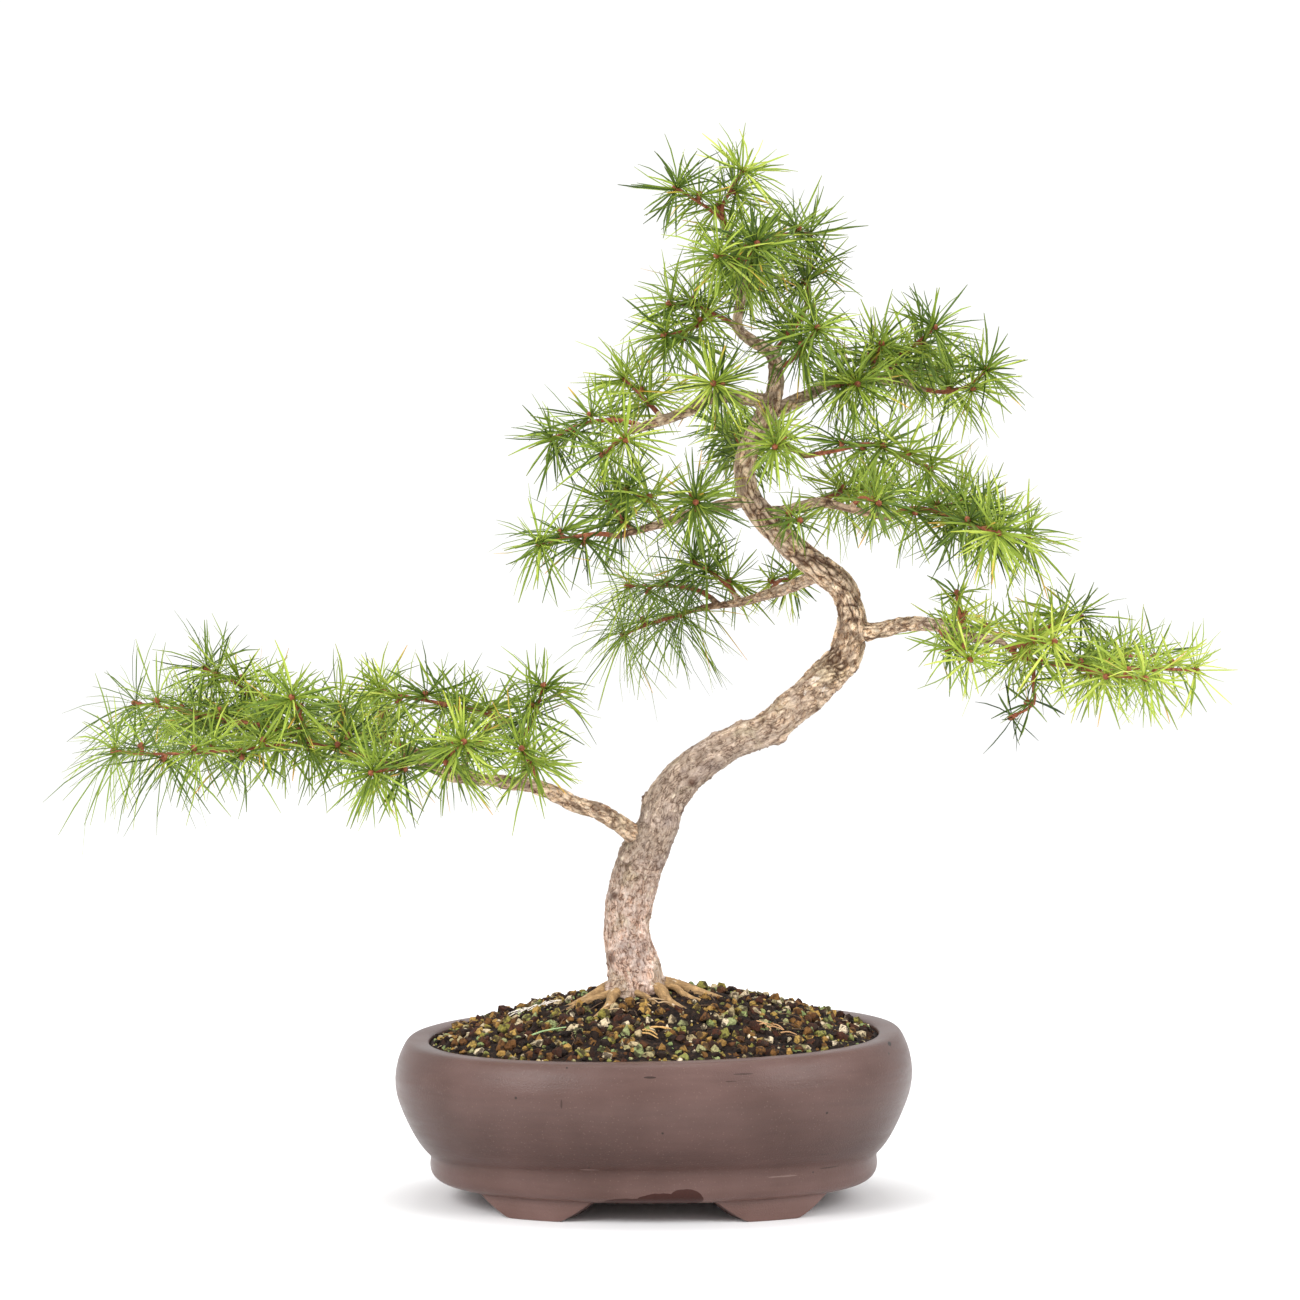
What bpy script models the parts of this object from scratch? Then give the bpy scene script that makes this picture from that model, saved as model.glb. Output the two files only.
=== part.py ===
"""A larch bonsai in its unglazed oval pot, standing on the pot's four feet.

Metres, +Z up. X runs along the pot, and Y from the front of the tree to its back.
The wood is one solid: roots, trunk, boughs and the stubs that the leafy shoots grow on.
Each leafy shoot is a solid of its own, with a slim woody core and its needles in tufts.
"""
import math
import random

import bmesh
import bpy
import numpy as np
from mathutils import Matrix, Vector
from mathutils.geometry import delaunay_2d_cdt

MM = 0.001
GAP = 0.3 * MM
MERGE = 1e-7                # points this close together, in metres, are one
CAP_MERGE = 1e-6            # the same, where a curve's caps meet its sides

# The pot, as half its length against height, from the middle of the floor inside,
# up the wall, over the lip and down the outside to the middle of the underside.
POT_PROFILE_MM = [
    (0, 16), (92, 16), (102, 20), (113, 36), (120, 54), (119, 70), (112.5, 77), (112, 81),
    (121.5, 82), (124, 80), (128, 72), (129.2, 63), (128.4, 55), (122.9, 40), (115.4, 26),
    (110.4, 22), (111.4, 19), (110.6, 14), (99, 9.4), (0, 9.4),
]
POT_SEGMENTS = 40
POT_MERGE = 1e-5
OVAL_STEP = 26 * MM         # the pot is this much narrower than long, at each side
STEP_FROM = 90 * MM         # and nearer the middle in proportion
OVAL_POWER = 0.9            # under 1, the oval is a little squarer than an ellipse
RISE = 0.25                 # the pot was made by hand: it rises by this much a metre of X
LEAN = 0.4                  # and by this much a metre of Y, so its rim is low in front
FOOT_ANGLES = (60, 120, 240, 300)
FOOT_SPAN = 18              # degrees from a foot's middle to its end
FOOT_FLAT = 0.38            # the share of that span that stands on the ground
FOOT_REACH = (88 * MM, 105 * MM)
FOOT_TOP = 14.5 * MM
FOOT_LIFT = 0.93            # the ends of a foot are swept up to this share of its top
FOOT_SWEEP = 1.2            # over 1, the sweep starts gently
FOOT_CUTS = 9
DRAIN_X = 45 * MM
DRAIN_RADIUS = 8 * MM
DRAIN_SEGMENTS = 14
DRAIN_DRILL = 20 * MM

SCREEN_SIDE = 30 * MM
SCREEN_THICK = 1.2 * MM
SCREEN_HOLE = 9 * MM
SCREEN_PITCH = 12 * MM
FLOOR_Z = 16 * MM

SOIL_EDGE = (111.6 * MM, 85.6 * MM)
SOIL_EDGE_Z = 79 * MM
SOIL_RISE = 25 * MM
SOIL_ROUND = 1.8            # 2 would make the mound a paraboloid
SOIL_GRID = 11.5 * MM
SOIL_ROW = math.sqrt(3) / 2     # rows of the grid lie this much closer than its columns
SOIL_STRAY = 2 * MM
SOIL_INNER = 0.95           # the grid keeps this far inside the soil's edge
SOIL_EDGE_DROP = 2 * MM
SOIL_RELIEF = 1.6 * MM
SOIL_LEVELS = (-0.8, 0.1, 1)
SOIL_WALL_GAP = 1.2 * GAP
SOIL_SPREAD = (0.3, 0.6)    # grains lie from the first share out, over the second
GRAIN_LIMIT = 0.88
GRAIN_COUNT = 10
GRAIN_SIZE = (2.2 * MM, 3.9 * MM)
GRAIN_HEIGHT = 0.75
GRAIN_LIFT = 0.5 * MM
POCKET_GAP = 2 * GAP
POCKET_HEIGHT = 6 * MM

# Tree points are (x, z, depth) in mm as they look from the front, from this far away
# and this high. A point behind the trunk is spread from that line of sight.
SIGHT_DISTANCE = 1600
SIGHT_X, SIGHT_Z = -2, 273

# Trunk: (x, z, depth, radius).
TRUNK = [
    (-9, 88, 0, 13), (-9, 100, 0, 17), (-9, 110, 0, 13.8), (-13, 127, 1, 12),
    (-13, 140, 1, 11.6), (-11, 152, 0, 12), (-8, 164, -1, 12), (-4, 173, -3, 11.4),
    (2, 185, -5, 10.4), (7, 200, -7, 10.2), (20, 214, -9, 9.5), (38, 226, -10, 8.4),
    (56, 233, -9, 8.3), (66, 241, -6, 8.8), (78, 251, -3, 8.9), (88, 261, 0, 9),
    (96, 271, 2, 8.6), (99, 282, 3, 8.4), (99, 291, 3, 7.2), (95, 303, 4, 7),
    (85, 312, 5, 6.9), (73, 321, 6, 6.6), (64, 330, 7, 6.3), (56, 338, 7, 6.1),
    (49, 348, 7, 6), (46, 358, 7, 5.8), (46, 368, 7, 5.6), (49, 378, 6, 5.5),
    (55, 389, 5, 5.4), (60, 401, 4, 4.7), (61, 412, 4, 4.1), (59, 421, 3, 3.6),
    (49, 428, 2, 3.1), (42, 434, 1, 2.8), (43, 444, 0, 2.6), (44, 456, -1, 2.3),
    (41, 470, -3, 2),
]
# Roots: (x, y) in plan, in mm, from the trunk outwards. They lie in the soil's surface.
ROOTS = {
    "left": [(-10, 0), (-23, -5), (-36, -10), (-52, -12)],
    "front_left": [(-10, 0), (-16, -14), (-26, -28), (-30, -46)],
    "front_right": [(-9, 0), (0, -13), (12, -25), (21, -42)],
    "right": [(-8, 0), (8, -4), (24, -8), (44, -7)],
    "back_right": [(-8, 0), (4, 12), (17, 25), (32, 33)],
    "back_left": [(-10, 0), (-20, 12), (-31, 26), (-46, 34)],
}
ROOT_RADII = (6.4, 2.4)
ROOT_SINK_MM = (0, -2.4, 0.6, 4)    # how deep the axis of a root lies at its points
ROOT_GAP = 1.1 * GAP
ROOT_STEP = 12 * MM
BOUGH_STEP = 15 * MM
# Boughs: the radius at each end, then points (x, z, depth), in mm, from the trunk.
BOUGHS = {
    "low_left": (5.2, 2.2, [(-5, 177, -6), (-18, 187, -11), (-27, 192, -17), (-40, 196, -22),
                            (-57, 204, -29), (-82, 208, -38), (-102, 210, -42),
                            (-118, 218, -43), (-131, 216, -45)]),
    "low_left_riser": (2.0, 1.4, [(-66, 206, -32), (-64, 217, -25), (-66, 229, -17),
                                  (-74, 237, -8)]),
    "low_left_back": (2.0, 1.4, [(-84, 208, -38), (-96, 213, -11), (-108, 219, 20),
                                 (-120, 223, 48)]),
    "low_right": (4.8, 2.3, [(99, 281, 4), (113, 283, -3), (128, 286, -11), (142, 285, -20),
                             (153, 280, -25), (173, 278, -34)]),
    "third_left": (3.8, 1.7, [(84, 312, 7), (72, 306, 22), (58, 301, 42), (44, 297, 59),
                              (24, 294, 78)]),
    "second_left": (3.4, 1.8, [(48, 348, 10), (25, 343, -3), (15, 340, -11), (4, 336, -20),
                               (-18, 330, -34)]),
    "upper_left": (4.2, 2.2, [(58, 397, 7), (32, 400, -6), (16, 392, -20), (5, 388, -28),
                              (-11, 383, -39)]),
    "upper_right": (4.0, 2.1, [(56, 390, 7), (74, 399, 20), (90, 406, 31), (119, 408, 36),
                               (132, 404, 36)]),
    "mid_right": (2.8, 1.5, [(51, 382, 8), (63, 377, -11), (76, 370, -25)]),
    "second_right": (3.2, 1.7, [(54, 341, 10), (71, 344, -6), (83, 347, -20), (96, 344, -31),
                                (117, 339, -42)]),
}
# Leafy shoots. Each is a list of twigs, and a twig a list of points (x, z, depth) in mm.
# The first twig starts on the axis of the wood, and the others on a twig above them.
SHOOTS = {
    "low_left_tip": [
        [(-131, 216, -45), (-151, 221, -49), (-171, 227, -52), (-196, 235, -48),
         (-211, 238, -42), (-235, 243, -34), (-256, 246, -28)],
        [(-180, 230, -50), (-193, 247, -36), (-202, 253, -25), (-222, 263, -6)],
        [(-173, 227, -52), (-199, 224, -70), (-217, 222, -81), (-249, 221, -92),
         (-266, 222, -95)],
        [(-171, 227, -52), (-176, 238, -67), (-180, 247, -78)],
        [(-205, 237, -45), (-218, 237, -17), (-230, 236, 11), (-242, 234, 34)],
        [(-151, 221, -49), (-155, 234, -34), (-157, 244, -20)],
    ],
    "low_left_under": [[(-118, 218, -43), (-128, 214, -62), (-139, 212, -78)]],
    "low_left_front": [[(-102, 210, -42), (-103, 218, -62), (-96, 226, -84)]],
    "low_left_upper": [[(-74, 237, -8), (-91, 243, 0), (-115, 248, 8), (-134, 252, 14)]],
    "low_left_top": [[(-66, 229, -17), (-60, 239, -27), (-56, 252, -34)]],
    "low_left_back": [[(-120, 223, 48), (-134, 228, 64), (-150, 232, 78), (-166, 236, 87)],
                      [(-134, 228, 64), (-136, 240, 53), (-140, 248, 48)]],
    "low_left_inner": [[(-57, 204, -29), (-60, 213, -48), (-65, 222, -64)]],
    "low_left_behind": [[(-96, 213, -11), (-90, 224, 6), (-84, 233, 20)]],
    "low_right_tip": [
        [(173, 278, -34), (185, 269, -39), (208, 265, -42), (229, 264, -36),
         (245, 264, -31), (268, 263, -25)],
        [(179, 273, -36), (190, 281, -28), (200, 286, -20), (211, 289, -11)],
        [(178, 274, -36), (188, 276, -50), (198, 277, -63)],
        [(208, 265, -42), (220, 262, -62), (232, 260, -76), (243, 259, -87)],
        [(215, 265, -41), (226, 268, -20), (238, 270, 0), (249, 270, 17)],
        [(190, 268, -39), (190, 254, -41), (190, 246, -41), (182, 241, -39)],
    ],
    "low_right_upright": [[(153, 280, -25), (153, 288, -28), (152, 298, -31)]],
    "low_right_front": [[(142, 285, -20), (146, 279, -39), (152, 273, -56), (157, 269, -70)]],
    "low_right_back": [[(142, 285, -20), (150, 285, 6), (160, 284, 31), (172, 281, 53)]],
    "third_left_tip": [[(24, 294, 78), (14, 291, 84), (-2, 286, 90), (-12, 282, 92)]],
    "third_left_upper": [[(34, 295, 69), (22, 303, 76), (5, 305, 84), (-10, 305, 90)]],
    "third_left_top": [[(44, 297, 59), (34, 308, 64), (22, 316, 73)]],
    "third_left_inner": [[(58, 301, 42), (62, 307, 59), (68, 309, 76)]],
    "second_left_tip": [[(-18, 330, -34), (-30, 331, -39), (-54, 327, -50)]],
    "second_left_upper": [[(4, 336, -20), (1, 345, -27), (-11, 352, -35)]],
    "second_left_mid": [[(-10, 332, -28), (-16, 340, -17), (-22, 346, -6)]],
    "second_left_inner": [[(22, 342, -6), (21, 347, -22), (21, 347, -39)]],
    "upper_left_tip": [[(-11, 383, -39), (-17, 378, -43), (-23, 373, -46)]],
    "upper_left_far": [[(-4, 385, -34), (-20, 388, -28), (-36, 386, -22), (-48, 380, -18)]],
    "upper_left_top": [[(5, 388, -28), (-2, 396, -20), (-13, 407, -8)]],
    "upper_left_front": [[(32, 400, -6), (31, 404, -25), (30, 406, -43)]],
    "crown_left": [[(42, 434, 1), (31, 441, -7), (20, 445, -13), (11, 446, -18)],
                   [(31, 441, -7), (20, 434, -18), (8, 431, -27)]],
    "crown_apex": [[(41, 470, -4), (34, 491, -8), (38, 502, -11), (43, 510, -13)],
                   [(35, 488, -8), (24, 496, -14), (14, 502, -17)]],
    "crown_front": [[(43, 463, -3), (47, 468, -22), (51, 475, -41)],
                    [(47, 468, -22), (41, 469, -34), (34, 470, -42)]],
    "crown_right": [[(42, 466, -4), (54, 476, 11), (66, 481, 25), (76, 481, 36)]],
    "crown_back": [[(44, 452, -1), (46, 457, 22), (49, 460, 45), (51, 462, 64)]],
    "shoulder_right": [[(61, 413, 4), (69, 418, -8), (74, 425, -19), (80, 432, -28)]],
    "shoulder_up": [[(59, 421, 4), (68, 431, 14), (75, 441, 22), (77, 452, 28),
                     (78, 462, 34)]],
    "upper_right_mid": [[(100, 407, 32), (108, 413, 14), (113, 424, -1)]],
    "upper_right_top": [[(113, 408, 35), (121, 417, 22), (130, 425, 14), (138, 432, 8)]],
    "upper_right_tip": [[(132, 404, 36), (145, 402, 31), (157, 405, 22), (164, 411, 17)]],
    "upper_right_front": [[(88, 405, 29), (95, 406, 11), (101, 406, -10)]],
    "upper_right_back": [[(119, 408, 36), (126, 411, 59), (134, 414, 81), (142, 414, 98)]],
    "mid_right_tip": [[(76, 370, -25), (92, 373, -28), (108, 376, -28), (122, 371, -28),
                       (135, 365, -28)]],
    "mid_right_front": [[(63, 377, -11), (63, 377, -28), (61, 375, -45)]],
    "second_right_tip": [
        [(117, 339, -42), (131, 344, -45), (152, 339, -42), (161, 334, -39), (184, 329, -34)],
        [(141, 342, -45), (150, 346, -25), (160, 345, -6)],
        [(152, 339, -42), (160, 335, -62), (170, 332, -76)],
    ],
    "second_right_mid": [[(98, 344, -32), (104, 349, -43), (111, 347, -59)]],
    "second_right_back": [[(83, 347, -20), (92, 351, 0), (104, 353, 20), (116, 350, 36)]],
    "second_right_inner": [[(71, 344, -6), (67, 339, -22), (72, 338, -38)]],
    "back_high": [[(46, 364, 10), (46, 371, 36), (43, 376, 62), (39, 382, 87), (34, 384, 109)],
                  [(43, 376, 62), (52, 382, 76), (60, 386, 92)]],
}
SHOOT_STEP = 18 * MM
STUB = 2.2 * MM             # a shoot starts this far from the bough's surface
STUB_SWELL = 1.1            # a stub is this much thicker where it leaves the bough
SHOOT_GAP = 1.4 * GAP
SHOOT_RADII = (1.35 * MM, 0.75 * MM)
TWIG_RADII = (1.0 * MM, 0.7 * MM)
BUD_RADIUS = 1.25 * MM
TUFT_SPACING = 24 * MM
TUFT_START = 7 * MM         # no tuft is nearer the foot of its twig than this
TUFT_OFFSET = 0.9 * MM      # a bud sits this far off the axis of its twig
TUFT_FORWARD = 0.35         # a tuft points outwards, and this much along its twig
TUFT_UPWARD = 0.25          # and this much up
NEEDLE_LENGTH = (20 * MM, 27 * MM)
NEEDLE_ROOT = 0.7 * MM      # half the width of a needle where it leaves the bud
NEEDLE_SLIM = 0.85          # the share of that width left where it clears its own twig
NEEDLE_CLEAR = 0.35 * MM
NEEDLE_TRIES = 14
NEEDLE_FORWARD = 0.12       # a needle leans this much the way its tuft points
NEEDLE_STRAY = 0.1
FACE_ORDER_STRAY = 0.3
NEEDLES_PER_TUFT = 13
FACES_TRIED = 16            # of the 20 faces of a bud
MOST_LEAN = 0.33            # radians between a needle and its face of the bud
OWN_START = 2.6 * MM        # from here on, a needle stays clear of its own shoot
MOST_BACK = -0.35           # how far a needle may point back past its bud, as a cosine
GOLDEN_ANGLE = math.radians(137.5)

COLOURS = {
    "pot": ((0.20, 0.11, 0.09), 0.6),
    "soil": ((0.05, 0.03, 0.02), 0.95),
    "screen": ((0.03, 0.03, 0.03), 0.5),
    "bark": ((0.42, 0.28, 0.18), 0.85),
    "needles": ((0.20, 0.36, 0.06), 0.5),
}


def clear_scene():
    for thing in list(bpy.data.objects):
        bpy.data.objects.remove(thing, do_unlink=True)


def make_collection(name):
    collection = bpy.data.collections.new(name)
    bpy.context.scene.collection.children.link(collection)
    return collection


def make_material(name):
    colour, roughness = COLOURS[name]
    material = bpy.data.materials.new(name)
    material.use_nodes = True
    shader = material.node_tree.nodes["Principled BSDF"]
    shader.inputs["Base Color"].default_value = (*colour, 1)
    shader.inputs["Roughness"].default_value = roughness
    shader.inputs["Metallic"].default_value = 0
    return material


def add_object(name, mesh, collection):
    thing = bpy.data.objects.new(name, mesh)
    collection.objects.link(thing)
    return thing


def from_bmesh(name, bm, collection):
    """Makes the object, with the faces of its one closed body turned outwards."""
    bmesh.ops.recalc_face_normals(bm, faces=bm.faces)
    if bm.calc_volume(signed=True) < 0:
        bmesh.ops.reverse_faces(bm, faces=bm.faces)
    mesh = bpy.data.meshes.new(name)
    bm.to_mesh(mesh)
    bm.free()
    return add_object(name, mesh, collection)


def apply_modifiers(thing):
    """Puts the evaluated mesh in place of the object's own and drops its modifiers."""
    evaluated = thing.evaluated_get(bpy.context.evaluated_depsgraph_get())
    mesh = bpy.data.meshes.new_from_object(evaluated)
    thing.modifiers.clear()
    thing.data = mesh


def drop(things):
    for thing in list(things):
        bpy.data.objects.remove(thing, do_unlink=True)


def boolean(thing, operation, cutters, solver="EXACT"):
    """One Boolean with all of a collection's objects, applied."""
    modifier = thing.modifiers.new("boolean", "BOOLEAN")
    modifier.operation = operation
    modifier.solver = solver
    modifier.operand_type = "COLLECTION"
    modifier.collection = cutters
    apply_modifiers(thing)
    drop(cutters.objects)
    bpy.data.collections.remove(cutters)


def largest_body(bm):
    """Drops every loose scrap of a mesh but its largest body."""
    bodies, reached = [], set()
    for start in bm.faces:
        if start in reached:
            continue
        body, front = [], [start]
        reached.add(start)
        while front:
            face = front.pop()
            body.append(face)
            for near in {f for edge in face.edges for f in edge.link_faces} - reached:
                reached.add(near)
                front.append(near)
        bodies.append(body)
    bodies.sort(key=len)
    scraps = [face for body in bodies[:-1] for face in body]
    bmesh.ops.delete(bm, geom=scraps, context="FACES")


def tidy_mesh(thing):
    """Joins points that fell together, as far as the surface stays closed."""
    for merge in (MERGE, 0):
        bm = bmesh.new()
        bm.from_mesh(thing.data)
        if merge:
            bmesh.ops.remove_doubles(bm, verts=bm.verts, dist=merge)
            bmesh.ops.dissolve_degenerate(bm, edges=bm.edges, dist=merge)
        bmesh.ops.triangulate(bm, faces=bm.faces)
        closed = all(len(edge.link_faces) == 2 for edge in bm.edges)
        if closed or not merge:
            largest_body(bm)
            bm.to_mesh(thing.data)
        bm.free()
        if closed:
            break


def seen(x, z, depth):
    """The place of a point that looks to be at x and z from the front."""
    spread = (SIGHT_DISTANCE + depth) / SIGHT_DISTANCE
    return Vector((SIGHT_X + (x - SIGHT_X) * spread, depth,
                   SIGHT_Z + (z - SIGHT_Z) * spread)) * MM


def smooth_path(points, step):
    """A smooth curve through points, as a list of places about a step apart."""
    padded = [points[0] * 2 - points[1], *points, points[-1] * 2 - points[-2]]
    path = []
    for a, b, c, d in zip(padded, padded[1:], padded[2:], padded[3:]):
        parts = max(1, round((c - b).length / step))
        for i in range(parts):
            t = i / parts
            path.append(0.5 * (2 * b + (c - a) * t + (2 * a - 5 * b + 4 * c - d) * t * t
                               + (3 * b - a - 3 * c + d) * t * t * t))
    return path + [points[-1]]


def travelled(path):
    """How far along the path each of its points lies."""
    far = [0.0]
    for a, b in zip(path, path[1:]):
        far.append(far[-1] + (b - a).length)
    return far


def point_at(path, distance):
    far = travelled(path)
    for i in range(len(path) - 1):
        if distance <= far[i + 1] or i == len(path) - 2:
            t = (distance - far[i]) / max(far[i + 1] - far[i], 1e-9)
            return path[i].lerp(path[i + 1], t), (path[i + 1] - path[i]).normalized()


def part_of(path, start, end):
    """The stretch of a path between two distances along it."""
    far = travelled(path)
    inner = [p for p, f in zip(path, far) if start + MM < f < end - MM]
    return [point_at(path, start)[0], *inner, point_at(path, end)[0]]


def tapered(path, first, last):
    far = travelled(path)
    return [first + (last - first) * f / far[-1] for f in far]


def tube(name, path, radii, collection, resolution):
    """A curve with round section and closed ends, made a mesh."""
    curve = bpy.data.curves.new(name, "CURVE")
    curve.dimensions = "3D"
    curve.bevel_depth = 1
    curve.bevel_resolution = resolution
    curve.use_fill_caps = True
    spline = curve.splines.new("POLY")
    spline.points.add(len(path) - 1)
    for point, place, radius in zip(spline.points, path, radii):
        point.co = (*place, 1)
        point.radius = radius
    shape = add_object(name + "_curve", curve, collection)
    evaluated = shape.evaluated_get(bpy.context.evaluated_depsgraph_get())
    mesh = bpy.data.meshes.new_from_object(evaluated)
    drop([shape])
    bm = bmesh.new()
    bm.from_mesh(mesh)
    bmesh.ops.remove_doubles(bm, verts=bm.verts, dist=CAP_MERGE)
    return from_bmesh(name, bm, collection)


def slant(x, y):
    """How much higher the pot and its soil are at a place than in their middle."""
    return 1 + RISE * x + LEAN * y


def oval(reach, angle, z):
    """A place on the oval whose half length is reach, at an angle round the pot."""
    depth = reach - OVAL_STEP * min(1, reach / STEP_FROM)
    c, s = math.cos(angle), math.sin(angle)
    x = math.copysign(abs(c) ** OVAL_POWER, c) * reach
    y = math.copysign(abs(s) ** OVAL_POWER, s) * depth
    return Vector((x, y, z * slant(x, y)))


def build_foot(angle, collection):
    """A low foot that follows the oval, with its ends swept up into the floor."""
    bm = bmesh.new()
    bmesh.ops.create_cube(bm, size=2)
    along = [e for e in bm.edges if abs(e.verts[0].co.x - e.verts[1].co.x) > 1]
    bmesh.ops.subdivide_edges(bm, edges=along, cuts=FOOT_CUTS, use_grid_fill=True)
    for vert in bm.verts:
        share, outer, top = vert.co.x, vert.co.y < 0, vert.co.z > 0
        sweep = max(0, (abs(share) - FOOT_FLAT) / (1 - FOOT_FLAT))
        lift = FOOT_TOP * FOOT_LIFT * sweep ** FOOT_SWEEP
        turn = math.radians(angle + share * FOOT_SPAN)
        vert.co = oval(FOOT_REACH[outer], turn, FOOT_TOP if top else lift)
    return from_bmesh("foot", bm, collection)


def build_pot(objects):
    mesh = bpy.data.meshes.new("pot")
    mesh.from_pydata([(x * MM, 0, z * MM) for x, z in POT_PROFILE_MM],
                     [(i, i + 1) for i in range(len(POT_PROFILE_MM) - 1)], [])
    pot = add_object("pot", mesh, objects)
    screw = pot.modifiers.new("turn", "SCREW")
    screw.steps = POT_SEGMENTS
    screw.render_steps = POT_SEGMENTS
    screw.use_merge_vertices = True
    screw.merge_threshold = POT_MERGE
    apply_modifiers(pot)
    for vert in pot.data.vertices:
        x, y, z = vert.co
        vert.co = oval(math.hypot(x, y), math.atan2(y, x), z)
    tidy_mesh(pot)
    feet = make_collection("feet")
    for angle in FOOT_ANGLES:
        build_foot(angle, feet)
    boolean(pot, "UNION", feet)
    holes = make_collection("drain_holes")
    for side in (-1, 1):
        bm = bmesh.new()
        bmesh.ops.create_cone(bm, cap_ends=True, segments=DRAIN_SEGMENTS,
                              radius1=DRAIN_RADIUS, radius2=DRAIN_RADIUS, depth=DRAIN_DRILL,
                              matrix=Matrix.Translation((side * DRAIN_X, 0, FLOOR_Z)))
        from_bmesh("drain_hole", bm, holes)
    boolean(pot, "DIFFERENCE", holes)
    tidy_mesh(pot)
    return pot


def build_screen(name, side, objects):
    """A plastic mesh square that keeps the soil in over a drain hole."""
    centre = Vector((side * DRAIN_X, 0, FLOOR_Z * slant(side * DRAIN_X, 0)))
    centre.z += GAP + SCREEN_THICK / 2
    tilt = Matrix.Rotation(-math.atan(FLOOR_Z * RISE), 4, "Y")
    tip = Matrix.Rotation(math.atan(FLOOR_Z * LEAN), 4, "X")
    place = Matrix.Translation(centre) @ tilt @ tip
    bm = bmesh.new()
    bmesh.ops.create_cube(bm, size=1, matrix=place @ Matrix.Diagonal(
        (SCREEN_SIDE, SCREEN_SIDE, SCREEN_THICK, 1)))
    screen = from_bmesh(name, bm, objects)
    holes = make_collection("screen_holes")
    for column in (-0.5, 0.5):
        for row in (-0.5, 0.5):
            bm = bmesh.new()
            bmesh.ops.create_cube(bm, size=SCREEN_HOLE, matrix=place @ Matrix.Translation(
                (column * SCREEN_PITCH, row * SCREEN_PITCH, 0)))
            from_bmesh("screen_hole", bm, holes)
    boolean(screen, "DIFFERENCE", holes)
    tidy_mesh(screen)
    return screen


def soil_share(x, y):
    """How far out a place is on the soil: 0 in the middle and 1 at its edge."""
    power = 2 / OVAL_POWER
    long, deep = abs(x) / SOIL_EDGE[0], abs(y) / SOIL_EDGE[1]
    return (long ** power + deep ** power) ** (1 / power)


def soil_height(x, y):
    share = min(1, soil_share(x, y))
    return (SOIL_EDGE_Z + SOIL_RISE * (1 - share ** SOIL_ROUND)) * slant(x, y)


def soil_ring(reach, z):
    return [oval(reach, 2 * math.pi * i / POT_SEGMENTS, z) for i in range(POT_SEGMENTS)]


def build_soil(objects, roots):
    """The soil fills the pot. Its mound has a pebbly relief, and grains lie on it."""
    draw = random.Random(5)
    edge = soil_ring(SOIL_EDGE[0], SOIL_EDGE_Z - SOIL_EDGE_DROP)
    places = [Vector((p.x, p.y)) for p in edge]
    rows = int(2 * SOIL_EDGE[1] / (SOIL_GRID * SOIL_ROW)) + 1
    columns = int(2 * SOIL_EDGE[0] / SOIL_GRID) + 1
    for row in range(rows):
        for column in range(columns):
            x = (column + 0.5 * (row % 2) - columns / 2) * SOIL_GRID
            y = (row - rows / 2) * SOIL_GRID * SOIL_ROW
            place = Vector((x + draw.uniform(-1, 1) * SOIL_STRAY,
                            y + draw.uniform(-1, 1) * SOIL_STRAY))
            if soil_share(*place) < SOIL_INNER:
                places.append(place)
    inside = 1      # the output keeps the triangles inside the edge
    flat, _, triangles, *_ = delaunay_2d_cdt(
        places, [], [list(range(POT_SEGMENTS))], inside, MERGE)
    bm = bmesh.new()
    top = []
    for i, place in enumerate(flat):
        if i < POT_SEGMENTS:
            top.append(bm.verts.new(edge[i]))
        else:
            bump = draw.choice(SOIL_LEVELS) * SOIL_RELIEF * draw.uniform(0.6, 1)
            top.append(bm.verts.new((*place, soil_height(*place) + bump)))
    for triangle in triangles:
        bm.faces.new([top[i] for i in triangle])
    # Below the surface, the soil follows the wall inside the pot.
    wall = [(x * MM - SOIL_WALL_GAP, z * MM) for x, z in reversed(POT_PROFILE_MM[2:6])]
    wall.append((POT_PROFILE_MM[1][0] * MM - SOIL_WALL_GAP, FLOOR_Z + SOIL_WALL_GAP))
    above = top[:POT_SEGMENTS]
    for reach, z in wall:
        ring = [bm.verts.new(place) for place in soil_ring(reach, z)]
        for i in range(POT_SEGMENTS):
            j = (i + 1) % POT_SEGMENTS
            bm.faces.new((above[i], above[j], ring[j], ring[i]))
        above = ring
    bm.faces.new(above)
    soil = from_bmesh("soil", bm, objects)
    boolean(soil, "UNION", build_grains(draw))
    boolean(soil, "DIFFERENCE", roots)
    pockets = make_collection("screen_pockets")
    for side in (-1, 1):
        bm = bmesh.new()
        room = SCREEN_SIDE + 2 * POCKET_GAP
        bmesh.ops.create_cube(bm, size=1, matrix=Matrix.Translation(
            (side * DRAIN_X, 0, FLOOR_Z)) @ Matrix.Diagonal((room, room, POCKET_HEIGHT, 1)))
        from_bmesh("screen_pocket", bm, pockets)
    boolean(soil, "DIFFERENCE", pockets)
    tidy_mesh(soil)
    return soil


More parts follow.
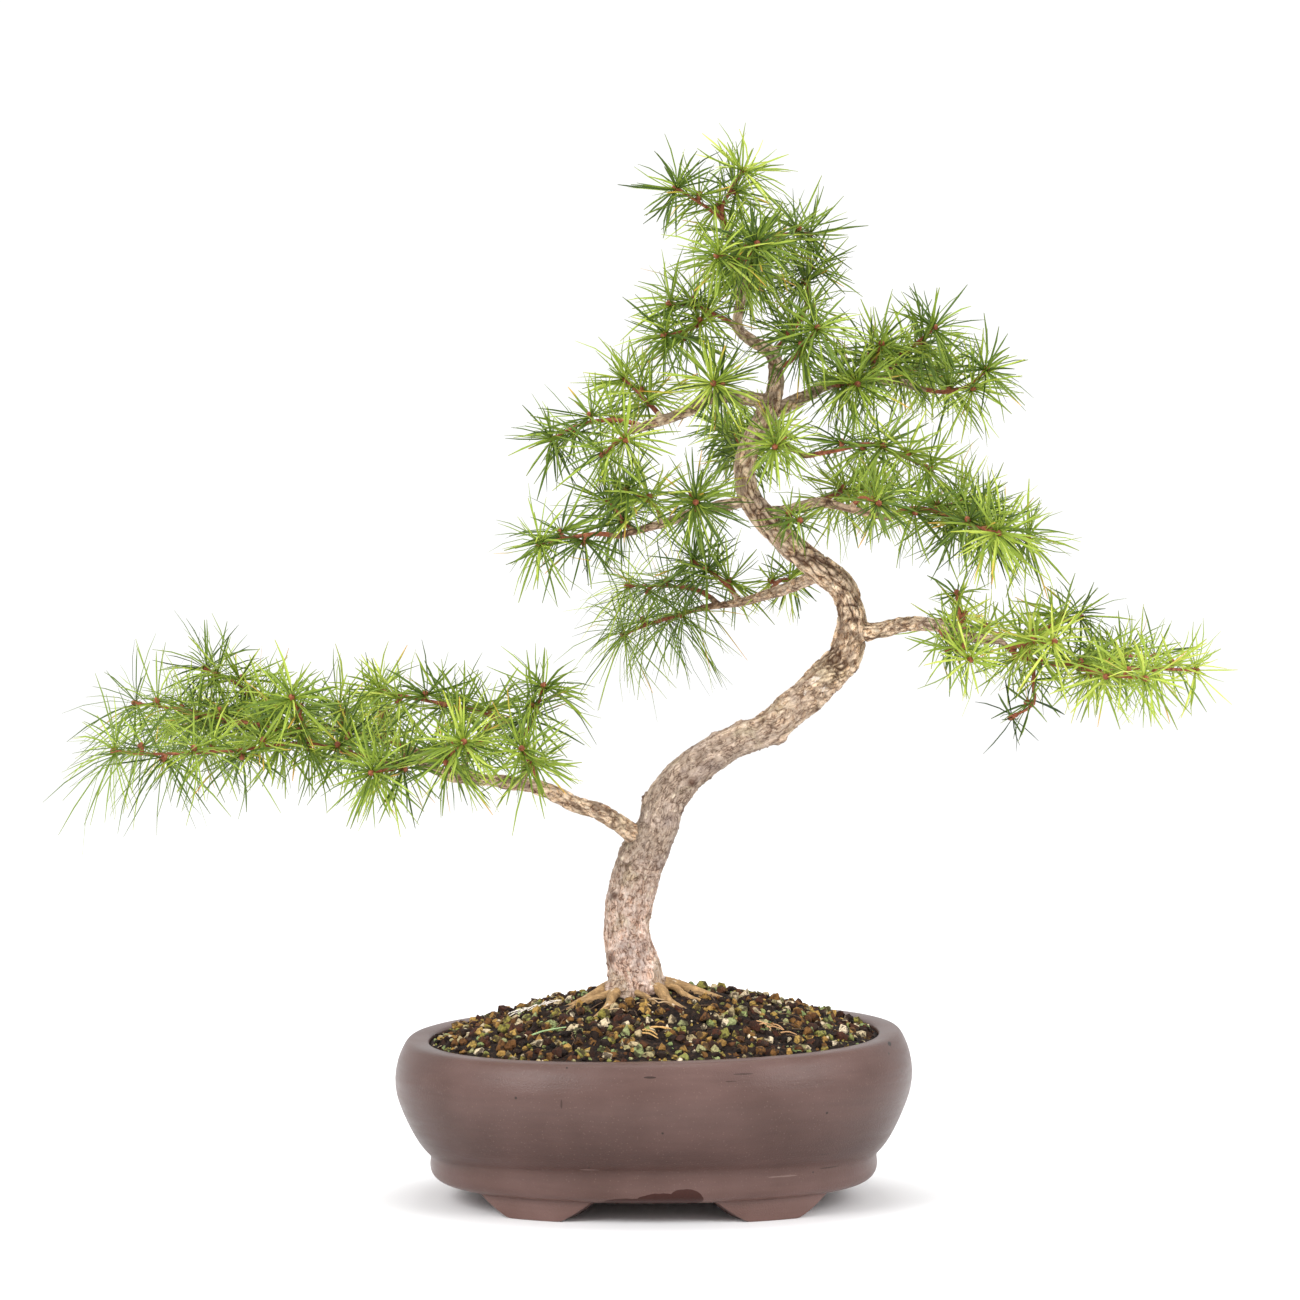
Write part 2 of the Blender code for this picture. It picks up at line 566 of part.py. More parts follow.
def build_grains(draw):
    """The largest grains of the soil, each a rough lump sunk into the mound."""
    grains = make_collection("grains")
    while len(grains.objects) < GRAIN_COUNT:
        angle = draw.uniform(0, 2 * math.pi)
        share = SOIL_SPREAD[0] + SOIL_SPREAD[1] * math.sqrt(draw.random())
        x = math.cos(angle) * share * SOIL_EDGE[0]
        y = math.sin(angle) * share * SOIL_EDGE[1]
        if soil_share(x, y) > GRAIN_LIMIT:
            continue
        size = draw.uniform(*GRAIN_SIZE)
        turn = Matrix.Rotation(draw.uniform(0, 3), 4, Vector((draw.random(), 1, 1)))
        shape = Matrix.Diagonal((size, size * draw.uniform(0.7, 1), size * GRAIN_HEIGHT, 1))
        bm = bmesh.new()
        bmesh.ops.create_icosphere(bm, subdivisions=1, radius=1, matrix=Matrix.Translation(
            (x, y, soil_height(x, y) + GRAIN_LIFT)) @ turn @ shape)
        from_bmesh("grain", bm, grains)
    return grains


def root_paths():
    """Each root as a path in space with its radii. It sinks towards its end."""
    paths = []
    for points in ROOTS.values():
        places = []
        for (x, y), sink in zip(points, ROOT_SINK_MM):
            x, y = x * MM, y * MM
            places.append(Vector((x, y, soil_height(x, y) - sink * MM)))
        path = smooth_path(places, ROOT_STEP)
        paths.append((path, tapered(path, ROOT_RADII[0] * MM, ROOT_RADII[1] * MM)))
    return paths


def trunk_path():
    points = [seen(x, z, depth) for x, z, depth, _ in TRUNK]
    return points, [radius * MM for *_, radius in TRUNK]


def bough_paths():
    paths = []
    for first, last, points in BOUGHS.values():
        path = smooth_path([seen(*point) for point in points], BOUGH_STEP)
        paths.append((path, tapered(path, first * MM, last * MM)))
    return paths


def room_at(place, limbs):
    """How far a place is from the surface of the wood. It is negative inside."""
    nearest = 1.0
    for path, radii in limbs:
        for i in range(len(path) - 1):
            side = path[i + 1] - path[i]
            t = max(0, min(1, (place - path[i]).dot(side) / side.length_squared))
            radius = radii[i] + (radii[i + 1] - radii[i]) * t
            nearest = min(nearest, (path[i].lerp(path[i + 1], t) - place).length - radius)
    return nearest


def shoot_twigs(limbs):
    """Each shoot as its stub, which is wood, and its twigs, which carry needles."""
    shoots = {}
    for name, twigs in SHOOTS.items():
        paths = [smooth_path([seen(*p) for p in twig], SHOOT_STEP) for twig in twigs]
        stub_end = MM
        while room_at(point_at(paths[0], stub_end)[0], limbs) < STUB:
            stub_end += MM
        whole = travelled(paths[0])[-1]
        stub = part_of(paths[0], 0, stub_end)
        paths[0] = part_of(paths[0], stub_end + SHOOT_GAP, whole)
        shoots[name] = (stub, paths)
    return shoots


def build_wood(objects, limbs, shoots):
    """Roots, trunk, boughs and stubs grew as one piece, and are joined into one solid."""
    path, radii = limbs[0]
    wood = tube("wood", path, radii, objects, 3)
    pieces = make_collection("limbs")
    for path, radii in limbs[1:]:
        tube("limb", path, radii, pieces, 1)
    for stub, _ in shoots.values():
        radii = [SHOOT_RADII[0] * STUB_SWELL] * (len(stub) - 1) + [SHOOT_RADII[0]]
        tube("stub", stub, radii, pieces, 0)
    boolean(wood, "UNION", pieces, "MANIFOLD")
    tidy_mesh(wood)
    return wood


def root_cutters(limbs):
    """The foot of the trunk and the roots, thicker by the gap to the soil."""
    cutters = make_collection("root_room")
    path, radii = limbs[0]
    count = len(ROOTS)      # as many points of the trunk reach well above the soil
    low = [path[0] - Vector((0, 0, GAP)), *path[1:count]]
    room = tube("root_room", low, [r + ROOT_GAP for r in radii[:count]], cutters, 3)
    pieces = make_collection("root_room_parts")
    for path, radii in limbs[1:1 + len(ROOTS)]:
        end = path[-1] + (path[-1] - path[-2]).normalized() * GAP
        tube("root", path[:-1] + [end], [r + ROOT_GAP for r in radii], pieces, 1)
    boolean(room, "UNION", pieces, "MANIFOLD")
    return cutters


def find_tufts(paths):
    """A tuft at each twig's tip and others down the twig, a golden angle apart."""
    tufts = []
    for path in paths:
        whole = travelled(path)[-1]
        tip, along = point_at(path, whole)
        tufts.append((tip, along))
        count = int((whole - TUFT_START) / TUFT_SPACING)
        for k in range(1, count + 1):
            place, along = point_at(path, whole - k * TUFT_SPACING)
            side = along.orthogonal().normalized()
            side.rotate(Matrix.Rotation(k * GOLDEN_ANGLE + len(tufts), 3, along))
            out = (side + TUFT_FORWARD * along + Vector((0, 0, TUFT_UPWARD))).normalized()
            tufts.append((place + side * TUFT_OFFSET, out))
    return tufts


class Room:
    """The space that wood and needles take, as straight stretches that taper."""

    def __init__(self):
        self.rows = []

    def add(self, owner, a, b, radius_a, radius_b):
        self.rows.append((*a, *b, radius_a, radius_b, owner))

    def settle(self, spare):
        """Moves what was added to a table with places for more."""
        self.count = len(self.rows)
        self.table = np.zeros((self.count + spare, 9))
        self.table[:self.count] = self.rows

    def put(self, *row):
        self.table[self.count] = row
        self.count += 1

    def clear(self, rows, a, b, radius_a, radius_b):
        """True where the stretch from a to b stays clear of all the rows."""
        p, q = np.array(a), np.array(b)
        c, d = rows[:, 0:3], rows[:, 3:6]
        u, v, w = q - p, d - c, p - c
        uu, vv = u @ u, (v * v).sum(1) + 1e-12
        uv, wu, wv = v @ u, w @ u, (v * w).sum(1)
        s = np.clip((uv * wv - wu * vv) / np.maximum(uu * vv - uv * uv, 1e-15), 0, 1)
        t = np.clip((uv * s + wv) / vv, 0, 1)
        s = np.clip((uv * t - wu) / uu, 0, 1)
        t = np.clip((uv * s + wv) / vv, 0, 1)
        away = np.linalg.norm(p + s[:, None] * u - c - t[:, None] * v, axis=1)
        thick = radius_a + (radius_b - radius_a) * s
        thick = thick + rows[:, 6] + (rows[:, 7] - rows[:, 6]) * t
        return bool((away > thick + NEEDLE_CLEAR).all())

    def free(self, owner, bud, way, length):
        """True where a needle from a bud has room. Near its bud it may touch its own twig."""
        rows = self.table[:self.count]
        own = rows[:, 8] == owner
        tip = bud + way * length
        return (self.clear(rows[own], bud + way * OWN_START, tip, NEEDLE_ROOT * NEEDLE_SLIM, 0)
                and self.clear(rows[~own], bud + way * MM, tip, NEEDLE_ROOT, 0))


def grow_needles(limbs, shoots):
    """Gives each tuft its bud, and a point on the bud's faces where a needle has room."""
    draw = random.Random(11)
    room = Room()
    for path, radii in limbs:
        for i in range(len(path) - 1):
            room.add(-1, path[i], path[i + 1], radii[i], radii[i + 1])
    for stub, _ in shoots.values():
        room.add(-1, stub[0], stub[-1], SHOOT_RADII[0] * STUB_SWELL, SHOOT_RADII[0])
    tufts = []
    for owner, (name, (_, paths)) in enumerate(shoots.items()):
        for path in paths:
            for a, b in zip(path, path[1:]):
                room.add(owner, a, b, SHOOT_RADII[0], SHOOT_RADII[0])
        for bud, out in find_tufts(paths):
            if room_at(bud, limbs) < BUD_RADIUS + GAP:
                continue
            axis = Vector((draw.gauss(0, 1), draw.gauss(0, 1), draw.gauss(0, 1)))
            spin = Matrix.Rotation(draw.uniform(0, 6), 4, axis.normalized())
            bm = bmesh.new()
            bmesh.ops.create_icosphere(bm, subdivisions=1, radius=BUD_RADIUS,
                                       matrix=Matrix.Translation(bud) @ spin)
            order = sorted(bm.faces, key=lambda face: draw.uniform(0, FACE_ORDER_STRAY)
                           - face.normal.dot(out))
            tufts.append((owner, name, bud, out, bm, order[:FACES_TRIED]))
            room.add(owner, bud, bud + out * GAP, BUD_RADIUS, BUD_RADIUS)
    room.settle(len(tufts) * FACES_TRIED)
    grown = [0] * len(tufts)
    for turn in range(FACES_TRIED):
        for i, (owner, _, bud, out, bm, faces) in enumerate(tufts):
            normal = faces[turn].normal.copy()
            if grown[i] >= NEEDLES_PER_TUFT or normal.dot(out) < MOST_BACK:
                continue
            for _ in range(NEEDLE_TRIES):
                lean = Vector((draw.gauss(0, 1), draw.gauss(0, 1), draw.gauss(0, 1)))
                way = (normal + NEEDLE_FORWARD * out + NEEDLE_STRAY * lean).normalized()
                length = draw.uniform(*NEEDLE_LENGTH)
                if way.angle(normal) < MOST_LEAN and room.free(owner, bud, way, length):
                    tip = bud + way * length
                    room.put(*(bud + way * MM), *tip, NEEDLE_ROOT, 0, owner)
                    bmesh.ops.poke(bm, faces=[faces[turn]])["verts"][0].co = tip
                    grown[i] += 1
                    break
    return tufts


def build_sprays(objects, shoots, tufts):
    """One solid for each leafy shoot: its twigs, buds and needles."""
    sprays = []
    for name, (_, paths) in shoots.items():
        radii = tapered(paths[0], *SHOOT_RADII)
        spray = tube("spray_" + name, paths[0], radii, objects, 0)
        pieces = make_collection("spray_parts")
        for path in paths[1:]:
            tube("twig", path, tapered(path, *TWIG_RADII), pieces, 0)
        for _, shoot, _, _, bm, _ in tufts:
            if shoot == name:
                from_bmesh("tuft", bm, pieces)
        boolean(spray, "UNION", pieces, "MANIFOLD")
        tidy_mesh(spray)
        sprays.append(spray)
    return sprays


def centre(things):
    """Moves the model so that its box stands over the origin."""
    points = np.concatenate([np.array([v.co for v in t.data.vertices]) for t in things])
    low, high = points.min(axis=0), points.max(axis=0)
    shift = Matrix.Translation((-(low[0] + high[0]) / 2, -(low[1] + high[1]) / 2, -low[2]))
    for thing in things:
        thing.data.transform(shift)


def build():
    clear_scene()
    objects = make_collection("larch_bonsai")
    limbs = [trunk_path(), *root_paths(), *bough_paths()]
    shoots = shoot_twigs(limbs)
    pot = build_pot(objects)
    screens = [build_screen("drain_screen_left", -1, objects),
               build_screen("drain_screen_right", 1, objects)]
    soil = build_soil(objects, root_cutters(limbs))
    wood = build_wood(objects, limbs, shoots)
    sprays = build_sprays(objects, shoots, grow_needles(limbs, shoots))
    for things, name in (([pot], "pot"), ([soil], "soil"), (screens, "screen"),
                         ([wood], "bark"), (sprays, "needles")):
        material = make_material(name)
        for thing in things:
            thing.data.materials.clear()
            thing.data.materials.append(material)
    centre([pot, soil, wood, *screens, *sprays])


build()
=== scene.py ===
import math
import random

import bpy
import numpy as np
from mathutils import Matrix, Vector, noise


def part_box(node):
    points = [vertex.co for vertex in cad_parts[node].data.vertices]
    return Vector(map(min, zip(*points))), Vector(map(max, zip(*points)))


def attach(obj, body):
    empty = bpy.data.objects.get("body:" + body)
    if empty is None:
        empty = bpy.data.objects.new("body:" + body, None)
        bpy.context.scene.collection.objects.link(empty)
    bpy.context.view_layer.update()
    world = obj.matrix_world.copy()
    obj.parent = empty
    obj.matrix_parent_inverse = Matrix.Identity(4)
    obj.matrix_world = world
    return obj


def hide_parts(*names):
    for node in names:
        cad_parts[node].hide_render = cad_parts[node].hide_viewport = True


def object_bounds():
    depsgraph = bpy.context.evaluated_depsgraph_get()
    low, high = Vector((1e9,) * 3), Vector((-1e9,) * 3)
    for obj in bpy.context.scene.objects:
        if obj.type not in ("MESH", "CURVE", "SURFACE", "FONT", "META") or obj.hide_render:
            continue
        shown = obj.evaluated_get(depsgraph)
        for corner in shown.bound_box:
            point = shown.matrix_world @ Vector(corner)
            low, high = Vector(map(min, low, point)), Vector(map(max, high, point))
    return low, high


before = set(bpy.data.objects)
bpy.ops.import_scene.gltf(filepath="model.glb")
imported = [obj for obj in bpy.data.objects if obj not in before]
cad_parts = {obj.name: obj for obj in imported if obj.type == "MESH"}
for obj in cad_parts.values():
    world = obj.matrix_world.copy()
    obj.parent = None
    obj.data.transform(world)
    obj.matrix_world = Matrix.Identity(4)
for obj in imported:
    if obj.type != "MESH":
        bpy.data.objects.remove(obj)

cad_low, cad_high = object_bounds()

# The pot is a low oval bowl of unglazed stoneware. It was thrown, pressed to an oval by
# hand, so its rim rises a little to one side, and stands on four feet cut from a slab.
# Its wall is turned here ring by ring, from the floor over the lip to the underside.
MM = 0.001
pot_low, pot_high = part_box("pot")
POT_CENTRE = Vector(((pot_low[0] + pot_high[0]) / 2, (pot_low[1] + pot_high[1]) / 2, 0))
# Rings are (half length, height) in mm.
FLOOR_MM = (92, 16)
POT_RINGS_MM = [
    (102, 20), (108, 28), (113, 36), (117.5, 45), (120, 54), (120.3, 62), (119, 70),
    (114, 75.5), (112.2, 78), (112, 80.2), (112.9, 81.4), (117, 82), (121.5, 82),
    (123.4, 81), (125.2, 78), (128, 71.5), (129.3, 63), (128.5, 55), (126.3, 48.5),
    (123.4, 41.5), (120.2, 35), (117.2, 29.8), (114.4, 26.2), (112.3, 24.2), (111.2, 22.6),
    (111.2, 20.9), (111.7, 18.8), (111.5, 16), (110.2, 13), (107.3, 10.8), (103, 9.7),
    (97, 9.4), (60, 9.4),
]
POT_SEGMENTS = 80
# The oval's half depth is this much less than its half length, in full from a half length
# of 90 mm on. It is a little squarer than an ellipse.
OVAL_STEP = 26 * MM
STEP_FROM = 90 * MM
OVAL_POWER = 0.9
# How much higher the pot gets, as a share, for each metre to the right and to the back.
RISE = 0.25
LEAN = 0.4
# The groove runs higher at the front and back. It lies outside this half length, and
# between the first and the last of these heights.
GROOVE_FROM = 96 * MM
GROOVE_LIFT = 3.6 * MM
GROOVE_HEIGHTS = (14 * MM, 24 * MM, 46 * MM)
# Feet: angles round the pot and half a foot's span in degrees, then the share of it that
# stands flat, how far up its scoops reach and how steeply, how many times longer its
# outer end is, and the half lengths of the ovals that its inner and outer sides follow.
FOOT_ANGLES = (60, 120, 240, 300)
FOOT_SPAN = 18
FOOT_FLAT = 0.38
FOOT_LIFT = 0.93
FOOT_SWEEP = 1.2
FOOT_OUTER = 1.35
FOOT_REACH = (88 * MM, 105 * MM)
FOOT_TOP = 14.5 * MM
FOOT_CUTS = 39
FOOT_BEVEL = 0.9 * MM
DRAIN_X = 45 * MM
DRAIN_RADIUS = 8 * MM
DRILL_DEPTH = 20 * MM
FLOOR_Z = FLOOR_MM[1] * MM


def shade(code, alpha=1.0):
    """A hex sRGB colour as the linear values that Blender's sockets take."""
    parts = [int(code[i:i + 2], 16) / 255 for i in (1, 3, 5)]
    linear = [p / 12.92 if p <= 0.04045 else ((p + 0.055) / 1.055) ** 2.4 for p in parts]
    return (*linear, alpha)


def new_finish(name):
    """A material with its node tree and its Principled shader."""
    material = bpy.data.materials.new(name)
    material.use_nodes = True
    tree = material.node_tree
    return material, tree, tree.nodes["Principled BSDF"]


def add_node(tree, kind, links=(), stops=(), **settings):
    """Adds a node. An input is linked where it is given an output, or else set."""
    added = tree.nodes.new(kind)
    for key, value in settings.items():
        setattr(added, key, value)
    for key, value in dict(links).items():
        if isinstance(value, bpy.types.NodeSocket):
            tree.links.new(value, added.inputs[key])
        else:
            added.inputs[key].default_value = value
    for i, (place, code) in enumerate(stops):
        elements = added.color_ramp.elements
        stop = elements[i] if i < 2 else elements.new(place)
        stop.position = place
        stop.color = shade(code)
    return added.outputs[0]


def deselect():
    if bpy.context.object and bpy.context.object.mode == "EDIT":
        bpy.ops.object.mode_set(mode="OBJECT")
    bpy.ops.object.select_all(action="DESELECT")


def choose(piece):
    """Makes a piece the only selected one, and the active one."""
    deselect()
    piece.select_set(True)
    bpy.context.view_layer.objects.active = piece


def apply_modifier(piece, kind, **settings):
    choose(piece)
    modifier = piece.modifiers.new(kind.lower(), kind)
    for key, value in settings.items():
        setattr(modifier, key, value)
    bpy.ops.object.modifier_apply(modifier=modifier.name)


def leave_edit_mode():
    """Turns all faces of the mesh in edit mode outwards, and ends the edit."""
    bpy.ops.mesh.select_all(action="SELECT")
    bpy.ops.mesh.normals_make_consistent(inside=False)
    bpy.ops.object.mode_set(mode="OBJECT")


def combine(piece, tool, operation):
    """Joins a tool's shape to a piece, or cuts it away, and removes the tool."""
    apply_modifier(piece, "BOOLEAN", operation=operation, object=tool, solver="EXACT")
    bpy.data.objects.remove(tool, do_unlink=True)


def turn_rings(radius, z, rings, segments):
    """A disc whose edge is drawn out, in edit mode, from ring to ring of a profile."""
    deselect()
    bpy.ops.mesh.primitive_circle_add(vertices=segments, radius=radius, fill_type="NGON",
                                      location=(0, 0, z))
    piece = bpy.context.object
    bpy.ops.object.transform_apply(location=True)
    bpy.ops.object.mode_set(mode="EDIT")
    bpy.ops.mesh.select_mode(type="EDGE")
    for next_radius, next_z in rings:
        bpy.ops.mesh.extrude_edges_move(
            TRANSFORM_OT_translate={"value": (0, 0, next_z - z)})
        scale = next_radius / radius
        bpy.ops.transform.resize(value=(scale, scale, 1), center_override=(0, 0, next_z))
        radius, z = next_radius, next_z
    bpy.ops.mesh.edge_face_add()
    leave_edit_mode()
    return piece


def slant(x, y):
    """How much higher the pot and its soil are at a place than in their middle."""
    return 1 + RISE * x + LEAN * y


def oval(reach, angle, z):
    """A place on the oval whose half length is reach, at an angle round the pot."""
    depth = reach - OVAL_STEP * min(1, reach / STEP_FROM)
    c, s = math.cos(angle), math.sin(angle)
    x = math.copysign(abs(c) ** OVAL_POWER, c) * reach
    y = math.copysign(abs(s) ** OVAL_POWER, s) * depth
    return Vector((x, y, z * slant(x, y)))


def press_oval(piece):
    """Presses a turned piece to the oval, its groove higher at the front and back."""
    for vert in piece.data.vertices:
        x, y, z = vert.co
        reach, angle = math.hypot(x, y), math.atan2(y, x)
        groove = np.interp(z, GROOVE_HEIGHTS, (0, 1, 0)) if reach > GROOVE_FROM else 0
        vert.co = oval(reach, angle, z + GROOVE_LIFT * groove * math.sin(angle) ** 2)


def settle(piece, name, finish, slot, *nodes, smooth=40):
    """Names a finished piece, puts it by the pot's centre and hands it to the frame."""
    piece.name = piece.data.name = name
    piece.data.transform(piece.matrix_world)
    piece.matrix_world = Matrix.Identity(4)
    piece.data.transform(Matrix.Translation(POT_CENTRE))
    piece.data.materials.clear()
    piece.data.materials.append(finish)
    choose(piece)
    bpy.ops.object.shade_smooth_by_angle(angle=math.radians(smooth))
    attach(piece, "root")
    if nodes:
        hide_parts(*nodes)
    return piece


def make_foot(angle):
    """A foot that follows the oval, its ends swept up in a scoop to the underside."""
    deselect()
    bpy.ops.mesh.primitive_cube_add(size=2)
    foot = bpy.context.object
    bpy.ops.object.mode_set(mode="EDIT")
    bpy.ops.mesh.select_all(action="DESELECT")
    bpy.ops.object.mode_set(mode="OBJECT")
    # The four edges that run along the foot are cut, so that it can bend.
    for edge in foot.data.edges:
        a, b = (foot.data.vertices[i].co for i in edge.vertices)
        edge.select = abs(a.x - b.x) > 1
    bpy.ops.object.mode_set(mode="EDIT")
    bpy.ops.mesh.select_mode(type="EDGE")
    bpy.ops.mesh.subdivide(number_cuts=FOOT_CUTS)
    bpy.ops.object.mode_set(mode="OBJECT")
    for vert in foot.data.vertices:
        share, outer, top = vert.co.x, vert.co.y < 0, vert.co.z > 0
        sweep = max(0, (abs(share) - FOOT_FLAT) / (1 - FOOT_FLAT))
        lift = FOOT_TOP * FOOT_LIFT * sweep ** FOOT_SWEEP
        outward = share * math.sin(math.radians(2 * angle)) < 0
        turn = math.radians(angle + share * FOOT_SPAN * (FOOT_OUTER if outward else 1))
        vert.co = oval(FOOT_REACH[outer], turn, FOOT_TOP if top else lift)
    bpy.ops.object.mode_set(mode="EDIT")
    leave_edit_mode()
    apply_modifier(foot, "BEVEL", width=FOOT_BEVEL, segments=3, angle_limit=math.radians(50))
    return foot


def spot_mask(tree, where, middle, size, ragged):
    """A mask that is 1 inside an ellipsoid with a ragged edge, and 0 outside it."""
    local = add_node(tree, "ShaderNodeMapping", {
        "Vector": where, "Location": [-m / s for m, s in zip(middle, size)],
        "Scale": [1 / s for s in size]})
    away = add_node(tree, "ShaderNodeVectorMath", {0: local}, operation="LENGTH")
    away = away.node.outputs["Value"]
    torn = add_node(tree, "ShaderNodeTexNoise", {"Vector": where, "Scale": 260, "Detail": 3})
    edge = add_node(tree, "ShaderNodeMath", {0: torn, 1: ragged, 2: away},
                    operation="MULTIPLY_ADD")
    return add_node(tree, "ShaderNodeMapRange", {"Value": edge, "From Min": 1 + ragged * 0.45,
                                                 "From Max": 1 + ragged * 0.55,
                                                 "To Min": 1.0, "To Max": 0.0})


# Marks on the pot's front: (x, y, z) from its centre and half sizes, in mm, how ragged the edge
# is, and the colour. The first three are the patch below the band that the slip missed; the
# others are scores and nicks, but for the last two, which are pale streaks along the top of the
# band painted as highlights.
CLAY_MARKS = [
    ((15, -84, 12.6), (8.5, 14, 5.2), 0.2, "#37160d"),
    ((4, -84, 11.8), (12, 14, 3.9), 0.25, "#37160d"),
    ((-12, -84, 10.6), (13, 14, 2.4), 0.35, "#37160d"),
    ((-43.4, -93, 60), (0.6, 8, 3), 0.3, "#3d2b26"),
    ((-102, -50, 61), (0.9, 6, 0.9), 0.3, "#2b1d19"),
    ((-2, -100, 72.6), (3, 7, 0.5), 0.6, "#33231e"),
    ((42, -94, 73.7), (5, 7, 0.35), 0.8, "#3d2b26"),
    ((36, -94, 70.5), (3, 7, 0.3), 0.8, "#3d2b26"),
    ((115, -42, 81.5), (1.2, 3, 1.2), 0.4, "#221613"),
    ((80, -65, 32), (5, 8, 0.35), 0.8, "#3d2b26"),
    ((85, -62, 24), (6, 8, 0.3), 0.8, "#3d2b26"),
    ((-64, -80, 69.7), (14, 8, 0.3), 0.8, "#463530"),
    # Painted highlights: two pale streaks along the top of the band.
    ((66, -78, 22), (12, 8, 0.4), 0.9, "#745e57"),
    ((-31, -86, 26.8), (5, 8, 0.2), 0.5, "#745e57"),
]


# Painted shade: the pot's colour changes with its height, up to here. It is darkest on the lower
# belly above the groove, and lighter on the band below and towards the rim.
SHADE_PAINT_TOP = 100 * MM


def make_clay():
    """Unglazed stoneware, sponged while wet: a soft sheen over a faint sandy grain.

    A pattern's Scale is how many of its cells go to a metre. The clouds are about 45 mm
    across, the sand grains 2 mm apart and the pits 14 mm.
    """
    material, tree, shader = new_finish("unglazed_brown_stoneware")
    where = add_node(tree, "ShaderNodeTexCoord").node.outputs["Object"]
    cloud = add_node(tree, "ShaderNodeTexNoise", {"Vector": where, "Scale": 22, "Detail": 5})
    tone = add_node(tree, "ShaderNodeValToRGB", {"Fac": cloud},
                    [(0.3, "#624841"), (0.7, "#785d57")])
    height = add_node(tree, "ShaderNodeSeparateXYZ", {"Vector": where}).node.outputs["Z"]
    height = add_node(tree, "ShaderNodeMapRange", {"Value": height, "From Max": SHADE_PAINT_TOP})
    # Painted shade: this ramp darkens the lower belly, where less light falls, and leaves the
    # band and the upper wall lighter.
    painted_shade = add_node(tree, "ShaderNodeValToRGB", {"Fac": height},
                     [(0.07, "#ffffff"), (0.16, "#dddad9"), (0.32, "#ac9f9b"), (0.55, "#c5c2c1"),
                      (0.75, "#d4d2d2")])
    tone = add_node(tree, "ShaderNodeMixRGB", {"Fac": 1.0, "Color1": tone, "Color2": painted_shade},
                    blend_type="MULTIPLY")
    wiped = add_node(tree, "ShaderNodeMapping", {"Vector": where, "Scale": (1, 1, 9)})
    streak = add_node(tree, "ShaderNodeTexNoise", {"Vector": wiped, "Scale": 34, "Detail": 6})
    smear = add_node(tree, "ShaderNodeMapRange", {"Value": streak, "From Min": 0.3,
                                                  "From Max": 0.7, "To Min": 0.93,
                                                  "To Max": 1.07})
    body = add_node(tree, "ShaderNodeMixRGB", {"Fac": 1.0, "Color1": tone, "Color2": smear},
                    blend_type="MULTIPLY")
    sand = add_node(tree, "ShaderNodeTexVoronoi", {"Vector": where, "Scale": 520})
    grain = add_node(tree, "ShaderNodeMapRange", {"Value": sand, "From Min": 0.12,
                                                  "From Max": 0.2, "To Min": 0.3,
                                                  "To Max": 0.0})
    body = add_node(tree, "ShaderNodeMixRGB", {"Fac": grain, "Color1": body,
                                               "Color2": shade("#7a645c")})
    pits = add_node(tree, "ShaderNodeTexVoronoi", {"Vector": where, "Scale": 70})
    pit = add_node(tree, "ShaderNodeMath", {0: pits, 1: 0.045}, operation="LESS_THAN")
    body = add_node(tree, "ShaderNodeMixRGB", {"Fac": pit, "Color1": body,
                                               "Color2": shade("#2f2420")})
    for middle, size, ragged, colour in CLAY_MARKS:
        spot = spot_mask(tree, where, [m * MM + c for m, c in zip(middle, POT_CENTRE)],
                         [s * MM for s in size], ragged)
        body = add_node(tree, "ShaderNodeMixRGB", {"Fac": spot, "Color1": body,
                                                   "Color2": shade(colour)})
    tree.links.new(body, shader.inputs["Base Color"])
    grit = add_node(tree, "ShaderNodeTexNoise", {"Vector": where, "Scale": 1400, "Detail": 2})
    relief = add_node(tree, "ShaderNodeMath", {0: streak, 1: 1.6, 2: grit},
                      operation="MULTIPLY_ADD")
    worn = add_node(tree, "ShaderNodeBump", {"Height": relief, "Strength": 0.35,
                                             "Distance": 0.5 * MM})
    tree.links.new(worn, shader.inputs["Normal"])
    rough = add_node(tree, "ShaderNodeMapRange", {"Value": streak, "To Min": 0.24,
                                                  "To Max": 0.46})
    tree.links.new(rough, shader.inputs["Roughness"])
    shader.inputs["IOR"].default_value = 1.5
    shader.inputs["Specular IOR Level"].default_value = 0.3
    return material


clay = make_clay()
pot = turn_rings(FLOOR_MM[0] * MM, FLOOR_Z, [(r * MM, z * MM) for r, z in POT_RINGS_MM],
                 POT_SEGMENTS)
press_oval(pot)
apply_modifier(pot, "SUBSURF", levels=1, render_levels=1)
for foot_angle in FOOT_ANGLES:
    combine(pot, make_foot(foot_angle), "UNION")
for side in (-1, 1):
    deselect()
    bpy.ops.mesh.primitive_cylinder_add(vertices=48, radius=DRAIN_RADIUS, depth=DRILL_DEPTH,
                                        location=(side * DRAIN_X, 0, FLOOR_Z))
    combine(pot, bpy.context.object, "DIFFERENCE")
settle(pot, "stoneware_pot", clay, "clay", "pot")

# A square of black plastic mesh lies over each drain hole and keeps the soil in. It is
# cut from a moulded sheet, and is seen only from below, through the hole.
SCREEN_SIDE = 30 * MM
SCREEN_CELLS = 12
SCREEN_STRAND = 0.9 * MM
SCREEN_LIFT = 0.9 * MM


def make_mesh_plastic():
    """Moulded polyethylene, matt from its mould and dusty from the soil."""
    material, tree, shader = new_finish("moulded_black_polyethylene")
    where = add_node(tree, "ShaderNodeTexCoord").node.outputs["Object"]
    dust = add_node(tree, "ShaderNodeTexNoise", {"Vector": where, "Scale": 240, "Detail": 3})
    tone = add_node(tree, "ShaderNodeValToRGB", {"Fac": dust},
                    [(0.45, "#1d1c1b"), (0.75, "#4c4238")])
    tree.links.new(tone, shader.inputs["Base Color"])
    shader.inputs["Roughness"].default_value = 0.55
    return material


